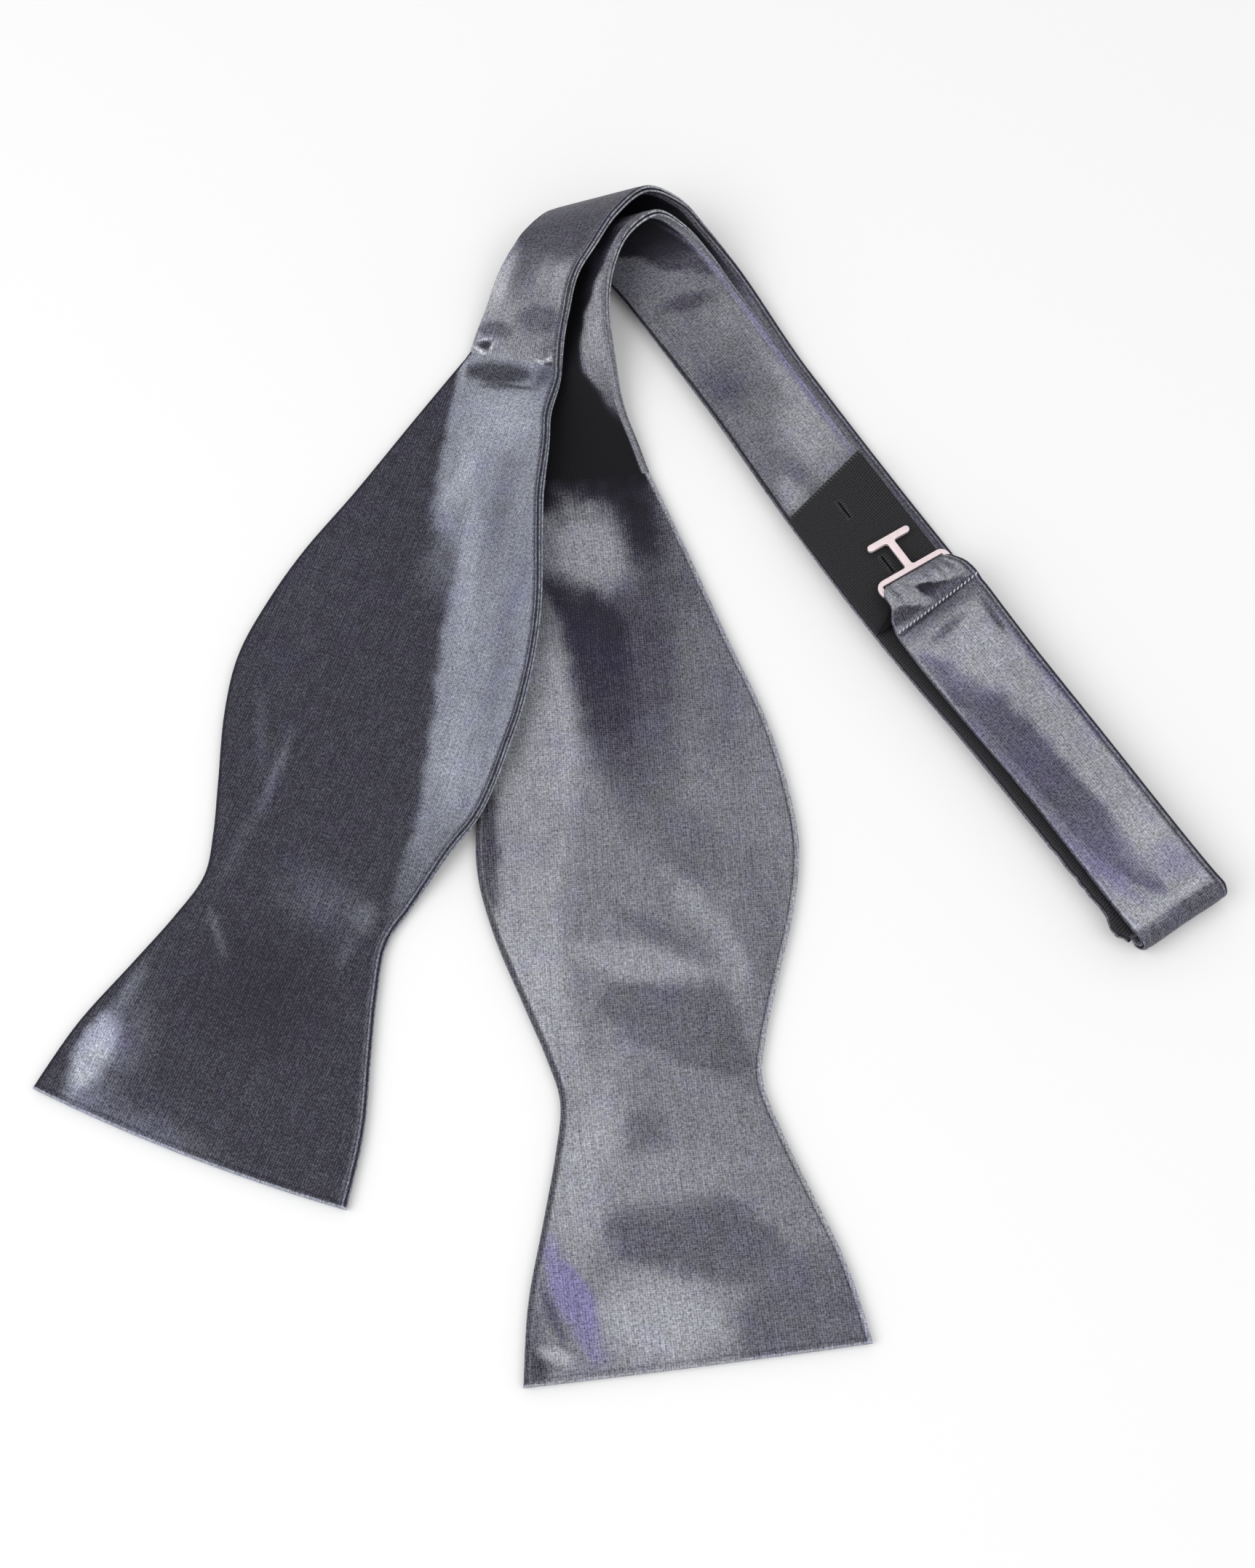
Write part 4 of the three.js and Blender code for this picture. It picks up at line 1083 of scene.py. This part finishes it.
HOOK_BAR = 1.2
HOOK_FRAME_WIDTH = 17.0
HOOK_SLOT_PITCH = 3.0
HOOK_SLOT_CORNER = 0.3
HOOK_STEM = 7.6
HOOK_STEM_WIDTH = 1.6
HOOK_T_WIDTH = 10.0
HOOK_T_BAR = 1.5
HOOK_CORNER = 1.9
HOOK_FILLET = 0.6
HOOK_TUMBLED = 0.14
HOOK_TILT = 6.0
ROSE_SHADE = (0.84, 0.68, 0.69, 1)
ROSE_LIGHT = (0.98, 0.86, 0.89, 1)


def rounded(corners, steps=6):
    """A closed outline of square corners, each rounded by its own radius."""
    points = []
    places = [np.array(corner[:2]) for corner in corners]
    for index, (x, y, radius) in enumerate(corners):
        here = places[index]
        before, after = places[index - 1] - here, places[(index + 1) % len(places)] - here
        before, after = before / np.linalg.norm(before), after / np.linalg.norm(after)
        centre = here + radius * (before + after)
        for turn in np.linspace(0, math.pi / 2, steps):
            points.append(centre - radius * (after * math.cos(turn) + before * math.sin(turn)))
    return points


def hook_outline():
    """The stamping's outer edge and its slot's, as two closed outlines."""
    half, bar, stem = HOOK_FRAME_WIDTH / 2, HOOK_BAR / 2, HOOK_STEM_WIDTH / 2
    inner = HOOK_SLOT_PITCH + bar
    near, far = inner + HOOK_STEM - HOOK_T_BAR / 2, inner + HOOK_STEM + HOOK_T_BAR / 2
    wing, round_end = HOOK_T_WIDTH / 2, HOOK_T_BAR / 2
    right = [
        (half, -bar, HOOK_CORNER), (half, inner, HOOK_CORNER), (stem, inner, HOOK_FILLET),
        (stem, near, HOOK_FILLET), (wing, near, round_end), (wing, far, round_end)]
    outline = right + [(-x, y, radius) for x, y, radius in right[::-1]]
    side, low, high = half - HOOK_BAR, bar, inner - HOOK_BAR
    corners = ((side, low), (side, high), (-side, high), (-side, low))
    return rounded(outline), rounded([(x, y, HOOK_SLOT_CORNER) for x, y in corners])


plate = bpy.data.curves.new("t_hook", "CURVE")
plate.dimensions = "2D"
plate.fill_mode = "BOTH"
plate.extrude = (HOOK_THICKNESS / 2 - HOOK_TUMBLED) / 1000
plate.bevel_depth = HOOK_TUMBLED / 1000
plate.bevel_resolution = 2
plate.offset = -HOOK_TUMBLED / 1000
for ring in hook_outline():
    spline = plate.splines.new("POLY")
    spline.points.add(len(ring) - 1)
    for point, (x, y) in zip(spline.points, ring):
        point.co = (x / 1000, y / 1000, 0, 1)
    spline.use_cyclic_u = True
drawn = placed("t_hook_plate", plate)
hook_mesh = solid_mesh(drawn)
bpy.data.objects.remove(drawn)
hook_mesh.name = "t_hook_plated"
tilted = Matrix.Rotation(math.radians(-HOOK_TILT), 4, "X")
turned = Matrix.Rotation(math.radians(LEG_ACROSS + HOOK_TURN), 4, "Z")
hook_mesh.transform(Matrix.Translation(leg_point(HOOK_BACK, HOOK_SHIFT, HOOK_Z)) @ turned @ tilted)
welded = bmesh.new()
welded.from_mesh(hook_mesh)
bmesh.ops.remove_doubles(welded, verts=welded.verts, dist=1e-6)
bmesh.ops.recalc_face_normals(welded, faces=welded.faces)
welded.to_mesh(hook_mesh)
welded.free()
hook_mesh.shade_smooth()
hook = placed("t_hook_plated", hook_mesh)
rose = Finish("rose_plate", {"Metallic": 0.45, "Specular IOR Level": 0.6})
rubbed = rose.noise(rose.node("ShaderNodeTexCoord", output=3), 900.0, 3.0)
rose.feed({
    "Base Color": rose.blend(rubbed, ROSE_SHADE, ROSE_LIGHT), "Roughness": rubbed * 0.2 + 0.25})
hook_mesh.materials.clear()
hook_mesh.materials.append(rose.material)
belongs(hook, "t_hook")


# Stitching. Short leaning stitches in a row: the seam that holds the gathered loop of the left band,
# the buttonhole stitches along both sides of each slit, and the overcast start of the ribbon.

RIBBON_TOP = RIBBON_Z + RIBBON_THICKNESS / 2
GREY_THREAD = (0.45, 0.46, 0.5, 1)
BLACK_THREAD = (0.045, 0.045, 0.048, 1)
SEAM_STITCH = (1.1, 0.42, 0.36)
SEAM_PITCH = 0.95
SEAM_LEAN = 34
SEAM_LIFT = 0.00008
SEAM_REACH = 0.93
SEAM_POINTS = 24
SEAM_PAST = 0.4
SEAM_SLANT = 0.9
BUTTONHOLE_STITCH = (0.2, 1.0, 0.16)
BUTTONHOLE_PITCH = 0.55
BUTTONHOLE_ASIDE = 0.55
BUTTONHOLE_PAST = 0.3
BUTTONHOLE_LIFT = 0.02
START_STITCH = (0.3, 0.95, 0.2)
START_PITCH = 0.8
START_LEAN = 14
START_ALONG = 0.45
START_REACH = 0.96
START_POINTS = 12


def stitch_tree():
    """Sets one rounded stitch at every step of a path, leaning from the path."""
    tree = bpy.data.node_groups.new("stitch_row", "GeometryNodeTree")
    sockets = {}
    tree.interface.new_socket("Geometry", in_out="OUTPUT", socket_type="NodeSocketGeometry")
    for label, kind in (("Geometry", "Geometry"), ("Pitch", "Float"), ("Size", "Vector"),
                        ("Lean", "Rotation"), ("Thread", "Material")):
        made = tree.interface.new_socket(label, in_out="INPUT", socket_type="NodeSocket" + kind)
        sockets[label] = made.identifier

    def node(kind, links, settings=None, values=None):
        made = tree.nodes.new(kind)
        for label, value in (settings or {}).items():
            setattr(made, label, value)
        for label, source in links.items():
            tree.links.new(source, made.inputs[label])
        for label, value in (values or {}).items():
            made.inputs[label].default_value = value
        return made.outputs

    given = node("NodeGroupInput", {})
    path = node("GeometryNodeMeshToCurve", {"Mesh": given["Geometry"]})
    steps = node("GeometryNodeResampleCurve", {"Curve": path[0], "Length": given["Pitch"]},
                 {"mode": "LENGTH"})
    bead = node("GeometryNodeMeshUVSphere", {}, None, {"Segments": 8, "Rings": 5, "Radius": 0.5})
    ahead = node("GeometryNodeInputTangent", {})
    along = node("FunctionNodeAlignRotationToVector", {"Vector": ahead[0]},
                 {"axis": "X", "pivot_axis": "Z"})
    leaning = node("FunctionNodeRotateRotation", {"Rotation": along[0], "Rotate By": given["Lean"]},
                   {"rotation_space": "LOCAL"})
    stitches = node("GeometryNodeInstanceOnPoints", {
        "Points": steps[0], "Instance": bead[0], "Rotation": leaning[0], "Scale": given["Size"]})
    solid = node("GeometryNodeRealizeInstances", {"Geometry": stitches[0]})
    smooth = node("GeometryNodeSetShadeSmooth", {"Geometry": solid[0]})
    threaded = node("GeometryNodeSetMaterial", {"Geometry": smooth[0], "Material": given["Thread"]})
    node("NodeGroupOutput", {"Geometry": threaded[0]})
    return tree, sockets


STITCH_TREE, STITCH_INPUTS = stitch_tree()


def stitch_row(name, paths, pitch, size, lean, thread):
    """Rows of stitches along paths of places in metres; pitch and size are in millimetres."""
    mesh = bpy.data.meshes.new(name)
    starts = np.cumsum([0] + [len(path) for path in paths])
    edges = [(start + step, start + step + 1)
             for start, path in zip(starts, paths) for step in range(len(path) - 1)]
    mesh.from_pydata(np.concatenate(paths).tolist(), edges, [])
    row = placed(name, mesh)
    sewing = row.modifiers.new("stitch_row", "NODES")
    sewing.node_group = STITCH_TREE
    sewing[STITCH_INPUTS["Pitch"]] = pitch / 1000
    sewing[STITCH_INPUTS["Size"]] = [value / 1000 for value in size]
    sewing[STITCH_INPUTS["Lean"]] = (0, 0, math.radians(lean))
    sewing[STITCH_INPUTS["Thread"]] = thread
    bake(row)
    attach(row, "root")


def on_top(piece, path, above):
    """Drops a path onto the top of a piece, in metres, and lifts it by a distance."""
    tree = BVHTree.FromObject(piece, bpy.context.evaluated_depsgraph_get())
    for place in path:
        hit = tree.ray_cast(Vector((place[0], place[1], 0.1)), Vector((0, 0, -1)))[0]
        place[2] = hit.z + above
    return path


grey_thread = Finish("grey_thread", {"Base Color": GREY_THREAD, "Roughness": 0.5}).material
black_thread = Finish("black_thread", {"Base Color": BLACK_THREAD, "Roughness": 0.5}).material

seam_share = np.linspace(-SEAM_REACH, SEAM_REACH, SEAM_POINTS)
seam_path = in_frame(outer.surface(sewn + SEAM_PAST + SEAM_SLANT * seam_share, seam_share))
stitch_row("loop_seam_stitches", [on_top(left_band, seam_path, SEAM_LIFT)], SEAM_PITCH, SEAM_STITCH,
           SEAM_LEAN, grey_thread)

buttonholes = [
    [leg_point(back + end * (SLIT_LENGTH / 2 + BUTTONHOLE_PAST), shift + side * BUTTONHOLE_ASIDE,
               RIBBON_TOP + BUTTONHOLE_LIFT)
     for end in (-1, 0, 1)]
    for back, shift in slits for side in (-1, 1)]
stitch_row("buttonhole_stitches", buttonholes, BUTTONHOLE_PITCH, BUTTONHOLE_STITCH, 0, black_thread)

start_share = np.linspace(-START_REACH, START_REACH, START_POINTS)
start_path = inner_ribbon.surface(np.full(start_share.shape, START_ALONG), start_share)
start_path[:, 2] += RIBBON_THICKNESS / 2
stitch_row("ribbon_start_stitches", [in_frame(start_path)], START_PITCH, START_STITCH, START_LEAN,
           black_thread)


# The surface it lies on, the light and the camera. A pale table under soft studio light, the main
# light low on the left, and the camera where the photograph was taken from.

CAMERA_ELEVATION = 70.0
CAMERA_DISTANCE = 0.5256
FOCAL_SHARE = 3600 / 2156
SENSOR_HEIGHT = 36
TABLE_SIZE = 6
TABLE_Z = -0.0002
PALE_GREY = (0.86, 0.86, 0.86, 1)
SKY_STRENGTH = 0.72

bpy.ops.mesh.primitive_plane_add(size=TABLE_SIZE, location=(0, 0, TABLE_Z))
table_top = bpy.context.object
table_top.name = "table_top"
paper = Finish("pale_table", {"Roughness": 0.9, "Base Color": PALE_GREY})
table_top.data.materials.append(paper.material)

world = bpy.data.worlds.new("studio")
world.use_nodes = True
sky = world.node_tree.nodes["Background"].inputs
sky["Color"].default_value = (1, 1, 1, 1)
sky["Strength"].default_value = SKY_STRENGTH
bpy.context.scene.world = world


def softbox(name, azimuth, elevation, distance, size, power):
    """A square soft light aimed at the middle of the tie."""
    data = bpy.data.lights.new(name, "AREA")
    data.size = size
    data.energy = power
    light = placed(name, data)
    turn, tilt = math.radians(azimuth), math.radians(elevation)
    light.location = (
        distance * math.cos(tilt) * math.sin(turn), -distance * math.cos(tilt) * math.cos(turn),
        distance * math.sin(tilt))
    light.rotation_euler = (math.pi / 2 - tilt, 0, turn)


softbox("key_light", azimuth=-70, elevation=50, distance=1.2, size=0.9, power=6.5)
softbox("fill_light", azimuth=60, elevation=60, distance=1.3, size=0.9, power=3)

camera_data = bpy.data.cameras.new("camera")
camera_data.sensor_fit = "VERTICAL"
camera_data.sensor_height = SENSOR_HEIGHT
camera_data.lens = SENSOR_HEIGHT * FOCAL_SHARE
camera_data.clip_start = 0.01
camera = placed("camera", camera_data)
lean = math.radians(CAMERA_ELEVATION)
camera.location = (
    LAYOUT_ORIGIN[0] / 1000, LAYOUT_ORIGIN[1] / 1000 - CAMERA_DISTANCE * math.cos(lean),
    CAMERA_DISTANCE * math.sin(lean))
camera.rotation_euler = (math.pi / 2 - lean, 0, 0)
bpy.context.scene.camera = camera
bpy.context.scene.view_settings.view_transform = "Standard"
